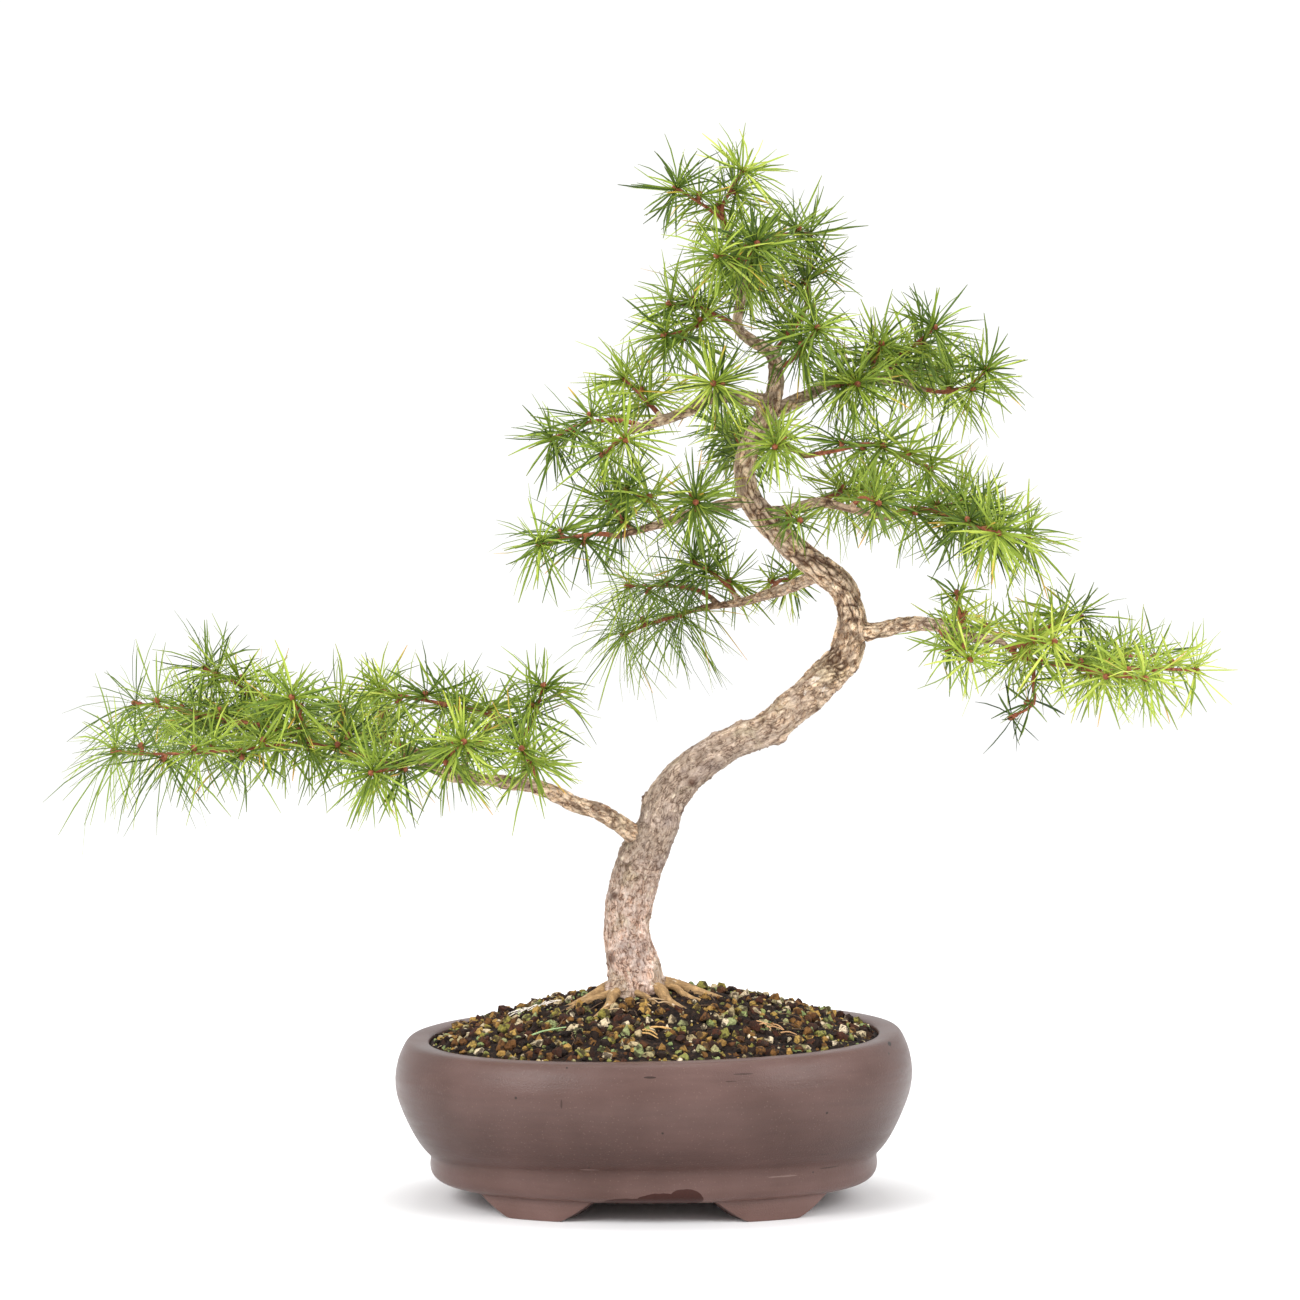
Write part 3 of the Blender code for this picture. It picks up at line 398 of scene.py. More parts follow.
mesh_plastic = make_mesh_plastic()
for side, screen_name in ((-1, "left"), (1, "right")):
    deselect()
    bpy.ops.mesh.primitive_grid_add(x_subdivisions=SCREEN_CELLS, y_subdivisions=SCREEN_CELLS,
                                    size=SCREEN_SIDE - SCREEN_STRAND)
    screen = bpy.context.object
    apply_modifier(screen, "WIREFRAME", thickness=SCREEN_STRAND, use_even_offset=True)
    middle_z = FLOOR_Z * slant(side * DRAIN_X, 0) + SCREEN_LIFT
    tilt = Matrix.Rotation(-math.atan(FLOOR_Z * RISE), 4, "Y")
    tip = Matrix.Rotation(math.atan(FLOOR_Z * LEAN), 4, "X")
    screen.data.transform(Matrix.Translation((side * DRAIN_X, 0, middle_z)) @ tilt @ tip)
    settle(screen, "screen_mesh_" + screen_name, mesh_plastic, "screen_plastic",
           "drain_screen_" + screen_name)

# The soil is a dark gritty mix of humus, fired clay and pumice, heaped to a mound round
# the trunk. Its body follows the inside of the pot, and its top is crumbly.
SOIL_EDGE = (111.6 * MM, 85.6 * MM)
SOIL_EDGE_Z = 79 * MM
SOIL_RISE = 25 * MM
SOIL_ROUND = 1.55
SOIL_CELLS = 130
# Rings below the soil's edge: (half length, height) in mm.
SOIL_WALL_MM = [(118, 69), (119, 54), (112, 36), (101, 20.6), (91.6, 16.4)]
CRUMB = 1.1 * MM
CRUMBS_A_METRE = 260


def soil_share(x, y):
    """How far out a place is on the soil: 0 in the middle and 1 at its edge."""
    power = 2 / OVAL_POWER
    long, deep = abs(x) / SOIL_EDGE[0], abs(y) / SOIL_EDGE[1]
    return (long ** power + deep ** power) ** (1 / power)


def soil_height(x, y):
    share = min(1, soil_share(x, y))
    return (SOIL_EDGE_Z + SOIL_RISE * (1 - share ** SOIL_ROUND)) * slant(x, y)


def make_humus():
    """Damp humus and clay dust: nearly black, dull, with browner dry crumbs."""
    material, tree, shader = new_finish("damp_bonsai_soil")
    where = add_node(tree, "ShaderNodeTexCoord").node.outputs["Object"]
    crumbs = add_node(tree, "ShaderNodeTexNoise", {"Vector": where, "Scale": 420,
                                                   "Detail": 5})
    tone = add_node(tree, "ShaderNodeValToRGB", {"Fac": crumbs},
                    [(0.38, "#120d0b"), (0.6, "#2b1e18"), (0.74, "#5a4230")])
    tree.links.new(tone, shader.inputs["Base Color"])
    rough = add_node(tree, "ShaderNodeBump", {"Height": crumbs, "Strength": 1.0,
                                              "Distance": 1.5 * MM})
    tree.links.new(rough, shader.inputs["Normal"])
    shader.inputs["Roughness"].default_value = 0.92
    shader.inputs["Specular IOR Level"].default_value = 0.25
    return material


deselect()
bpy.ops.mesh.primitive_grid_add(x_subdivisions=SOIL_CELLS, y_subdivisions=SOIL_CELLS, size=2)
soil = bpy.context.object
for vert in soil.data.vertices:
    x, y = vert.co.x, vert.co.y
    # The square's rings become the oval's, so the soil's edge is smooth.
    share = max(abs(x), abs(y))
    angle = math.atan2(y, x)
    place = oval(SOIL_EDGE[0], angle, 0)
    x, y = place.x * share, place.y * share
    crumb = noise.fractal(Vector((x, y, 0)) * CRUMBS_A_METRE, 0.9, 2.1, 4)
    vert.co = (x, y, soil_height(x, y) + crumb * CRUMB * (1 - share ** 8))
bpy.ops.object.mode_set(mode="EDIT")
bpy.ops.mesh.select_all(action="SELECT")
bpy.ops.mesh.region_to_loop()
edge_z = SOIL_EDGE_Z
edge_reach = SOIL_EDGE[0]
for reach_mm, z_mm in SOIL_WALL_MM:
    long = reach_mm * MM / edge_reach
    deep = (reach_mm * MM - OVAL_STEP) / (edge_reach - OVAL_STEP)
    bpy.ops.mesh.extrude_edges_move()
    bpy.ops.transform.resize(value=(long, deep, z_mm * MM / edge_z), center_override=(0, 0, 0))
    edge_reach, edge_z = reach_mm * MM, z_mm * MM
bpy.ops.mesh.edge_face_add()
leave_edit_mode()
settle(soil, "soil_mound", make_humus(), "soil", "soil")

# The wood grew as one piece: surface roots, the trunk in its two sweeps, and the boughs
# that were wired level. Its bark is thick and flaky below, and fissured tan plates above.
# Points are (x, z, depth) in mm as they look from the front, from 1600 mm away.
SIGHT_DISTANCE = 1600
SIGHT_X, SIGHT_Z = -2, 273
# The trunk, from the soil to its tip: (x, z, depth, radius) in mm.
TRUNK = [
    (-9, 88, 0, 13), (-9, 100, 0, 17), (-9, 110, 0, 13.8), (-13, 127, 1, 12),
    (-13, 140, 1, 11.6), (-11, 152, 0, 12), (-8, 164, -1, 12), (-4, 173, -3, 11.4),
    (2, 185, -5, 10.4), (7, 200, -7, 10.2), (20, 214, -9, 9.5), (38, 226, -10, 8.4),
    (56, 233, -9, 8.3), (66, 241, -6, 8.8), (78, 251, -3, 8.9), (88, 261, 0, 9),
    (96, 271, 2, 8.6), (99, 282, 3, 8.4), (99, 291, 3, 7.2), (95, 303, 4, 7),
    (85, 312, 5, 6.9), (73, 321, 6, 6.6), (64, 330, 7, 6.3), (56, 338, 7, 6.1),
    (49, 348, 7, 6), (46, 358, 7, 5.8), (46, 368, 7, 5.6), (49, 378, 6, 5.5),
    (55, 389, 5, 5.4), (60, 401, 4, 4.7), (61, 412, 4, 4.1), (59, 421, 3, 3.6),
    (49, 428, 2, 3.1), (42, 434, 1, 2.8), (43, 444, 0, 2.6), (44, 456, -1, 2.3),
    (41, 470, -3, 2),
]
# Roots: the radius at each end, then (x, y) in plan, in mm, from the trunk outwards. They
# lie in the soil's surface, and each sinks below it at its end.
ROOTS = {
    "left": (4.0, 1.6, [(-12, 1), (-23, -2), (-34, -9), (-53, -10)]),
    "left_low": (2.6, 1.2, [(-12, -4), (-21, -13), (-36, -15), (-56, -23)]),
    "front_left": (3.2, 1.4, [(-12, -5), (-20, -16), (-23, -28), (-36, -42)]),
    "front_right": (3.8, 1.5, [(-7, -5), (3, -12), (8, -25), (25, -38)]),
    "front": (2.0, 1.0, [(-9, -6), (-8, -17), (0, -24), (-4, -38)]),
    "right_low": (2.2, 1.1, [(-5, -4), (9, -6), (18, -17), (41, -19)]),
    "right": (4.2, 1.6, [(-8, 0), (9, -2), (24, -8), (46, -4)]),
    "back_right": (4.2, 1.8, [(-8, 0), (4, 12), (17, 25), (32, 33)]),
    "back_left": (4.2, 1.8, [(-10, 0), (-20, 12), (-31, 26), (-46, 34)]),
}
# How deep the axis of a root lies below the soil's surface at its four points.
ROOT_SINK_MM = (-1.5, -2.4, 0, 4)
# Boughs: the radius at each end, then points (x, z, depth), in mm, from the trunk.
BOUGHS = {
    "low_left": (5.2, 2.2, [(-5, 177, -6), (-18, 187, -11), (-27, 192, -17), (-40, 196, -22),
                            (-57, 204, -29), (-82, 208, -38), (-102, 210, -42),
                            (-118, 218, -43), (-131, 216, -45)]),
    "low_left_riser": (2.0, 1.4, [(-66, 206, -32), (-64, 217, -25), (-66, 229, -17),
                                  (-74, 237, -8)]),
    "low_left_back": (2.0, 1.4, [(-84, 208, -38), (-96, 213, -11), (-108, 219, 20),
                                 (-120, 223, 48)]),
    "low_right": (4.8, 2.3, [(99, 281, 4), (113, 283, -3), (128, 286, -11), (142, 285, -20),
                             (153, 280, -25), (173, 278, -34)]),
    "third_left": (3.8, 1.7, [(84, 312, 7), (72, 306, 22), (58, 301, 42), (44, 297, 59),
                              (24, 294, 78)]),
    "second_left": (3.4, 1.8, [(48, 348, 10), (25, 343, -3), (15, 340, -11), (4, 336, -20),
                               (-18, 330, -34)]),
    "upper_left": (4.2, 2.2, [(58, 397, 7), (32, 400, -6), (16, 392, -20), (5, 388, -28),
                              (-11, 383, -39)]),
    "upper_right": (4.0, 2.1, [(56, 390, 7), (74, 399, 20), (90, 406, 31), (119, 408, 36),
                               (132, 404, 36)]),
    "mid_right": (2.8, 1.5, [(51, 382, 8), (63, 377, -11), (76, 370, -25)]),
    "second_right": (3.2, 1.7, [(54, 341, 10), (71, 344, -6), (83, 347, -20), (96, 344, -31),
                                (117, 339, -42)]),
}
# Burls, stubs and knots: (x, z, depth, radius, how far it stands out), in mm.
KNOTS = [
    (-18, 173, -8, 5, 2.4), (-19, 150, -8, 3.4, 1.5), (-21, 119, -8, 5, 2.2),
    (5, 118, -8, 4.4, 2.6), (19, 207, -17, 3.6, 1.0), (64, 227, -10, 3.6, 3.0),
    (92, 282, -6, 5, 1.8), (101, 262, 0, 4, 1.8), (44, 357, -4, 4, 1.4), (72, 330, 0, 4, 1.4),
    (-12, 140, 12, 7, 2.4), (30, 228, 4, 5, 1.8), (88, 296, 12, 5, 1.8), (3, 165, 4, 6, 1.6),
    (-22, 159, -6, 3, 1.7), (-22, 168, -4, 3, 1.4), (31, 231, -9, 2.6, 1.4),
    (43, 236, -9, 2.2, 1.2), (-4, 199, -7, 2.6, 1.3), (-16, 166, -12, 3, 1.2),
    (14, 192, -10, 2.6, 1.2), (82, 243, -8, 3, 1.3), (72, 251, -8, 3, 1.2),
]
# Pale patches where the outer bark has come away: (x, z, depth, radius), in mm.
FLAKES = [(80, 260, -12, 9), (86, 253, -12, 7), (75, 253, -14, 6)]
WOOD_VOXEL = 0.64 * MM
WOOD_KEPT = 0.58
LIMB_STEP = 5 * MM
# How many points are measured against the limbs at once, to spare memory.
BATCH = 4000


def seen(x, z, depth):
    """The place of a point that looks to be at x and z from the front."""
    spread = (SIGHT_DISTANCE + depth) / SIGHT_DISTANCE
    return Vector((SIGHT_X + (x - SIGHT_X) * spread, depth,
                   SIGHT_Z + (z - SIGHT_Z) * spread)) * MM


def smooth_path(points, step):
    """A smooth curve through points, as a list of places about a step apart."""
    padded = [points[0] * 2 - points[1], *points, points[-1] * 2 - points[-2]]
    path = []
    for a, b, c, d in zip(padded, padded[1:], padded[2:], padded[3:]):
        parts = max(1, round((c - b).length / step))
        for i in range(parts):
            t = i / parts
            path.append(0.5 * (2 * b + (c - a) * t + (2 * a - 5 * b + 4 * c - d) * t * t
                               + (3 * b - a - 3 * c + d) * t * t * t))
    return path + [points[-1]]


def travelled(path):
    """How far along the path each of its points lies."""
    far = [0.0]
    for a, b in zip(path, path[1:]):
        far.append(far[-1] + (b - a).length)
    return far


def point_at(path, distance):
    """The place at a distance along a path, and the way that the path runs there."""
    far = travelled(path)
    for i in range(len(path) - 1):
        if distance <= far[i + 1] or i == len(path) - 2:
            t = (distance - far[i]) / max(far[i + 1] - far[i], 1e-9)
            return path[i].lerp(path[i + 1], t), (path[i + 1] - path[i]).normalized()


def tapered(path, first, last):
    far = travelled(path)
    return [first + (last - first) * f / far[-1] for f in far]


def make_tube(path, radii, resolution):
    """A branch as a bevelled curve, converted to a mesh with closed ends."""
    curve = bpy.data.curves.new("branch", "CURVE")
    curve.dimensions = "3D"
    curve.bevel_depth = 1
    curve.bevel_resolution = resolution
    curve.use_fill_caps = True
    spline = curve.splines.new("POLY")
    spline.points.add(len(path) - 1)
    for point, place, radius in zip(spline.points, path, radii):
        point.co = (*place, 1)
        point.radius = radius
    tube = bpy.data.objects.new("branch", curve)
    bpy.context.collection.objects.link(tube)
    choose(tube)
    bpy.ops.object.convert(target="MESH")
    tube = bpy.context.object
    bpy.ops.object.mode_set(mode="EDIT")
    bpy.ops.mesh.select_all(action="SELECT")
    bpy.ops.mesh.remove_doubles(threshold=0.001 * MM)
    leave_edit_mode()
    return tube


def join(pieces):
    choose(pieces[0])
    for piece in pieces[1:]:
        piece.select_set(True)
    bpy.ops.object.join()
    return bpy.context.object


def limb_paths():
    """Trunk, roots and boughs, each as a smooth path with its radii."""
    trunk = [seen(x, z, depth) for x, z, depth, _ in TRUNK]
    path = smooth_path(trunk, LIMB_STEP)
    known = travelled(trunk)
    radii = np.interp(travelled(path), [k * travelled(path)[-1] / known[-1] for k in known],
                      [radius * MM for *_, radius in TRUNK])
    limbs = [(path, list(radii))]
    for first, last, points in ROOTS.values():
        places = [Vector((x * MM, y * MM, soil_height(x * MM, y * MM) - sink * MM))
                  for (x, y), sink in zip(points, ROOT_SINK_MM)]
        path = smooth_path(places, LIMB_STEP)
        limbs.append((path, tapered(path, first * MM, last * MM)))
    for first, last, points in BOUGHS.values():
        path = smooth_path([seen(*point) for point in points], LIMB_STEP)
        limbs.append((path, tapered(path, first * MM, last * MM)))
    return limbs


def limb_table(limbs):
    """Every straight stretch of the limbs as a row: ends, radii, place, length, sideways.

    The place is how far along its limb a stretch starts, and the limb's number in metres
    is added to it, because no limb is a metre long.
    """
    rows = []
    for index, (path, radii) in enumerate(limbs):
        far = travelled(path)
        side = Vector((0, 1, 0))
        for i in range(len(path) - 1):
            along = (path[i + 1] - path[i]).normalized()
            side = (side - along * side.dot(along)).normalized()
            rows.append((*path[i], *path[i + 1], radii[i], radii[i + 1],
                         far[i] + index * 1.0, (path[i + 1] - path[i]).length, *side))
    return np.array(rows)


def nearest_limb(points, table):
    """For each point, the row of its limb, how far along that and how far from its bark."""
    a, b = table[:, 0:3], table[:, 3:6]
    way = b - a
    squared = (way * way).sum(1)
    row = np.empty(len(points), int)
    share = np.empty(len(points))
    room = np.empty(len(points))
    for start in range(0, len(points), BATCH):
        some = points[start:start + BATCH, None, :] - a[None]
        t = np.clip((some * way).sum(2) / squared, 0, 1)
        away = np.linalg.norm(some - t[..., None] * way, axis=2)
        left = away - (table[:, 6] + (table[:, 7] - table[:, 6]) * t)
        best = left.argmin(1)
        pick = np.arange(len(best))
        row[start:start + BATCH] = best
        share[start:start + BATCH] = t[pick, best]
        room[start:start + BATCH] = left[pick, best]
    return row, share, room


def get_points(mesh):
    points = np.empty(len(mesh.vertices) * 3)
    mesh.vertices.foreach_get("co", points)
    return points.reshape(-1, 3)


def get_normals(mesh):
    normals = np.empty(len(mesh.vertices) * 3)
    mesh.vertex_normals.foreach_get("vector", normals)
    return normals.reshape(-1, 3)


def put_attribute(mesh, name, kind, key, values):
    layer = mesh.attributes.new(name, kind, "POINT")
    layer.data.foreach_set(key, np.asarray(values, np.float32).ravel())


def limb_places(points, table):
    """For each point, its limb's number, the radius there and its place on the limb.

    The place is on the straightened limb, so that patterns follow its bends.
    """
    row = nearest_limb(points, table)[0]
    numbers = np.floor(table[:, 8])
    limb = numbers[row]
    share = np.empty(len(points))
    # Along its own limb a point is measured from the axis, so that a flare is no step.
    axes = table.copy()
    axes[:, 6:8] = 0
    for number in np.unique(limb):
        mine, rows = limb == number, np.flatnonzero(numbers == number)
        found, share[mine], _ = nearest_limb(points[mine], axes[rows])
        row[mine] = rows[found]
    a, b, side = table[row, 0:3], table[row, 3:6], table[row, 10:13]
    radius = table[row, 6] + (table[row, 7] - table[row, 6]) * share
    along = table[row, 8] + table[row, 9] * share
    way = (b - a) / table[row, 9][:, None]
    off = points - a - (b - a) * share[:, None]
    angle = np.arctan2((off * np.cross(way, side)).sum(1), (off * side).sum(1))
    run = np.stack([np.cos(angle) * radius, np.sin(angle) * radius, along], 1)
    return limb, radius, run


# From this height up, over this stretch, the trunk's bark turns from flaky to plates.
PLATES_FROM = 225 * MM
PLATES_OVER = 40 * MM
# Limbs of a smaller radius have smaller plates, and those below the next one less relief.
THIN_LIMB = 4 * MM
FULL_RELIEF_RADIUS = 7 * MM


def raise_bark(mesh, table):
    """Gives the wood its knots, its plates and the fissures between them.

    Plates are about 4 mm wide, smaller on thin limbs, and drawn out along the limb.
    """
    points, normals = get_points(mesh), get_normals(mesh)
    limb, radius, run = limb_places(points, table)
    high = np.where(limb == 0, np.clip((points[:, 2] - PLATES_FROM) / PLATES_OVER, 0, 1), 1)
    root = (limb > 0) & (limb <= len(ROOTS))
    high = np.where(root, 0.2, high)
    stretch = 0.6 - 0.38 * high
    pitch = 240 + 20 * high + 100 * (radius < THIN_LIMB)
    depth = np.where(root, 0.1, 0.28 + 0.95 * high)
    fissure, lift, plate = (np.empty(len(points)) for _ in range(3))
    for i in range(len(points)):
        x, y, z = run[i]
        spot = Vector((x, y, z * stretch[i])) + noise.noise_vector(run[i] * 140) * 2.4 * MM
        spots, cells = noise.voronoi(spot * pitch[i])
        gate = 0.42 + 0.3 * high[i] + 0.9 * noise.noise(run[i] * 70)
        gate = min(1, max(0.08 + 0.6 * high[i], gate))
        crack = math.exp(-((spots[1] - spots[0]) / (0.11 + 0.09 * high[i])) ** 2) * gate
        ledge = max(0, noise.noise(Vector((x * 170, y * 170, z * 800))) - 0.3) * (1 - high[i])
        plate[i] = noise.cell(cells[0] * 7.3)
        hump = noise.noise(run[i] * 95)
        crumb = noise.noise(run[i] * 620)
        fissure[i] = min(1, crack + 1.4 * ledge)
        lift[i] = (0.9 * hump + 0.24 * crumb + 0.4 * depth[i] * (plate[i] + spots[0])
                   + 1.4 * ledge - depth[i] * crack) * MM
    lift *= np.clip(radius / FULL_RELIEF_RADIUS, 0.25, 1)
    knot = np.zeros(len(points))
    for x, z, deep, size, height in KNOTS:
        away = np.linalg.norm(points - np.array(seen(x, z, deep)), axis=1) / (size * MM)
        near = np.exp(-1.4 * away ** 2)
        lift += height * MM * near * (1 + 0.35 * np.cos(away * 7))
        knot = np.maximum(knot, near)
    flake = np.zeros(len(points))
    for x, z, deep, size in FLAKES:
        away = np.linalg.norm(points - np.array(seen(x, z, deep)), axis=1) / (size * MM)
        flake = np.maximum(flake, np.exp(-away ** 2))
    points += normals * lift[:, None]
    mesh.vertices.foreach_set("co", points.ravel())
    put_attribute(mesh, "limb_run", "FLOAT_VECTOR", "vector", run)
    put_attribute(mesh, "bark_age", "FLOAT_VECTOR", "vector",
                  np.stack([fissure, high, radius / MM], 1))
    put_attribute(mesh, "bark_scar", "FLOAT_VECTOR", "vector", np.stack([knot, flake, root], 1))
    put_attribute(mesh, "bark_plate", "FLOAT", "value", plate)


# The foot of the trunk is pinker, and turns grey-brown between these heights.
FOOT_BARK = (135 * MM, 175 * MM)


def make_bark():
    """Larch bark: dull flaking plates, pink-grey at the foot and tan higher up."""
    material, tree, shader = new_finish("flaky_larch_bark")
    place = add_node(tree, "ShaderNodeTexCoord").node.outputs["Object"]
    place = add_node(tree, "ShaderNodeSeparateXYZ", {"Vector": place}).node
    run = add_node(tree, "ShaderNodeAttribute", attribute_name="limb_run").node
    run = run.outputs["Vector"]
    age = add_node(tree, "ShaderNodeAttribute", attribute_name="bark_age").node
    age = add_node(tree, "ShaderNodeSeparateXYZ", {"Vector": age.outputs["Vector"]}).node
    scar = add_node(tree, "ShaderNodeAttribute", attribute_name="bark_scar").node
    scar = add_node(tree, "ShaderNodeSeparateXYZ", {"Vector": scar.outputs["Vector"]}).node
    plate = add_node(tree, "ShaderNodeAttribute", attribute_name="bark_plate").node
    plate = plate.outputs["Fac"]
    mottle = add_node(tree, "ShaderNodeTexNoise", {"Vector": run, "Scale": 300,
                                                   "Detail": 8, "Roughness": 0.72})
    low = add_node(tree, "ShaderNodeValToRGB", {"Fac": mottle},
                   [(0.32, "#a5775d"), (0.45, "#dab59f"), (0.62, "#f3ddd0")])
    middle = add_node(tree, "ShaderNodeValToRGB", {"Fac": mottle},
                      [(0.3, "#8b7463"), (0.46, "#b69f8b"), (0.66, "#cfbbaa")])
    high = add_node(tree, "ShaderNodeValToRGB", {"Fac": mottle},
                    [(0.32, "#9e7254"), (0.42, "#e2ba93"), (0.56, "#ffe3c4")])
    rise = add_node(tree, "ShaderNodeMapRange", {"Value": place.outputs["Z"],
                                                 "From Min": FOOT_BARK[0],
                                                 "From Max": FOOT_BARK[1]})
    body = add_node(tree, "ShaderNodeMixRGB", {"Fac": rise, "Color1": low,
                                               "Color2": middle})
    body = add_node(tree, "ShaderNodeMixRGB", {"Fac": age.outputs["Y"], "Color1": body,
                                               "Color2": high})
    cloud = add_node(tree, "ShaderNodeTexNoise", {"Vector": run, "Scale": 55, "Detail": 4})
    plum = add_node(tree, "ShaderNodeMapRange", {"Value": cloud, "From Min": 0.53,
                                                 "From Max": 0.66, "To Max": 0.42})
    body = add_node(tree, "ShaderNodeMixRGB", {"Fac": plum, "Color1": body,
                                               "Color2": shade("#9a8a88")})
    algae = add_node(tree, "ShaderNodeMapRange", {"Value": cloud, "From Min": 0.45,
                                                  "From Max": 0.38, "To Max": 0.3})
    body = add_node(tree, "ShaderNodeMixRGB", {"Fac": algae, "Color1": body,
                                               "Color2": shade("#9f9872")})
    young = add_node(tree, "ShaderNodeMapRange", {"Value": age.outputs["Z"], "From Min": 2.6,
                                                  "From Max": 1.4})
    body = add_node(tree, "ShaderNodeMixRGB", {"Fac": young, "Color1": body,
                                               "Color2": shade("#a37453")})
    body = add_node(tree, "ShaderNodeMixRGB", {"Fac": scar.outputs["Z"], "Color1": body,
                                               "Color2": shade("#c29d6e")})
    uneven = add_node(tree, "ShaderNodeMapRange", {"Value": plate, "To Min": 0.84,
                                                   "To Max": 1.12})
    body = add_node(tree, "ShaderNodeMixRGB", {"Fac": 1.0, "Color1": body, "Color2": uneven},
                    blend_type="MULTIPLY")
    # Fine cracks run along the limb, between flakes about 2 mm wide and 7 mm long.
    sway = add_node(tree, "ShaderNodeTexNoise", {"Vector": run, "Scale": 260, "Detail": 3})
    sway = add_node(tree, "ShaderNodeVectorMath", {0: sway.node.outputs["Color"],
                                                   1: (0.005, 0.005, 0.005), 2: run},
                    operation="MULTIPLY_ADD")
    drawn = add_node(tree, "ShaderNodeMapping", {"Vector": sway, "Scale": (1, 1, 0.24)})
    flakes = add_node(tree, "ShaderNodeTexVoronoi", {"Vector": drawn, "Scale": 560},
                      feature="DISTANCE_TO_EDGE")
    line = add_node(tree, "ShaderNodeMapRange", {"Value": flakes, "From Max": 0.1,
                                                 "To Min": 1.0, "To Max": 0.0})
    fibre = add_node(tree, "ShaderNodeTexNoise", {"Vector": drawn, "Scale": 900,
                                                  "Detail": 4, "Roughness": 0.7})
    broken = add_node(tree, "ShaderNodeMapRange", {"Value": mottle, "From Min": 0.58,
                                                   "From Max": 0.44, "To Max": 0.85})
    line = add_node(tree, "ShaderNodeMath", {0: line, 1: broken}, operation="MULTIPLY")
    # The roots are washed and rubbed, so their skin is smoother.
    smooth = add_node(tree, "ShaderNodeMapRange", {"Value": scar.outputs["Z"],
                                                   "To Min": 1.0, "To Max": 0.3})
    line = add_node(tree, "ShaderNodeMath", {0: line, 1: smooth}, operation="MULTIPLY")
    body = add_node(tree, "ShaderNodeMixRGB", {"Fac": line, "Color1": body,
                                               "Color2": shade("#5a3d2e")})
    speck = add_node(tree, "ShaderNodeMapRange", {"Value": fibre, "From Min": 0.32,
                                                  "From Max": 0.68, "To Min": 0.7,
                                                  "To Max": 1.25})
    body = add_node(tree, "ShaderNodeMixRGB", {"Fac": 1.0, "Color1": body, "Color2": speck},
                    blend_type="MULTIPLY")
    # Lenticels: short pale dashes along the limb, about 1 mm wide and 3 mm long.
    short = add_node(tree, "ShaderNodeMapping", {"Vector": run, "Scale": (1, 1, 0.45)})
    dash = add_node(tree, "ShaderNodeTexVoronoi", {"Vector": short, "Scale": 210})
    dash = add_node(tree, "ShaderNodeMapRange", {"Value": dash, "From Min": 0.16,
                                                 "From Max": 0.1, "To Max": 0.7})
    body = add_node(tree, "ShaderNodeMixRGB", {"Fac": dash, "Color1": body,
                                               "Color2": shade("#e6d5bd")})
    dark = add_node(tree, "ShaderNodeMapRange", {"Value": age.outputs["Y"],
                                                 "To Min": 0.5, "To Max": 0.95})
    dark = add_node(tree, "ShaderNodeMath", {0: dark, 1: age.outputs["X"]},
                    operation="MULTIPLY")
    body = add_node(tree, "ShaderNodeMixRGB", {"Fac": dark, "Color1": body,
                                               "Color2": shade("#4a2e1e")})
    torn = add_node(tree, "ShaderNodeMath", {0: mottle, 1: 1.6}, operation="MULTIPLY")
    knot = add_node(tree, "ShaderNodeMath", {0: scar.outputs["X"], 1: torn},
                    operation="MULTIPLY")
    knot = add_node(tree, "ShaderNodeMapRange", {"Value": knot, "From Min": 0.3,
                                                 "From Max": 0.7, "To Max": 0.8})
    body = add_node(tree, "ShaderNodeMixRGB", {"Fac": knot, "Color1": body,
                                               "Color2": shade("#4f3022")})
    flake = add_node(tree, "ShaderNodeMath", {0: scar.outputs["Y"], 1: fibre},
                     operation="MULTIPLY")
    flake = add_node(tree, "ShaderNodeMapRange", {"Value": flake, "From Min": 0.42,
                                                  "From Max": 0.5, "To Max": 0.9})
    body = add_node(tree, "ShaderNodeMixRGB", {"Fac": flake, "Color1": body,
                                               "Color2": shade("#e0d6cc")})
    tree.links.new(body, shader.inputs["Base Color"])
    height = add_node(tree, "ShaderNodeMath", {0: line, 1: -0.8, 2: fibre},
                      operation="MULTIPLY_ADD")
    rough = add_node(tree, "ShaderNodeBump", {"Height": height, "Strength": 0.9,
                                              "Distance": 0.8 * MM})
    tree.links.new(rough, shader.inputs["Normal"])
    shader.inputs["Roughness"].default_value = 0.85
    shader.inputs["Specular IOR Level"].default_value = 0.3
    return material


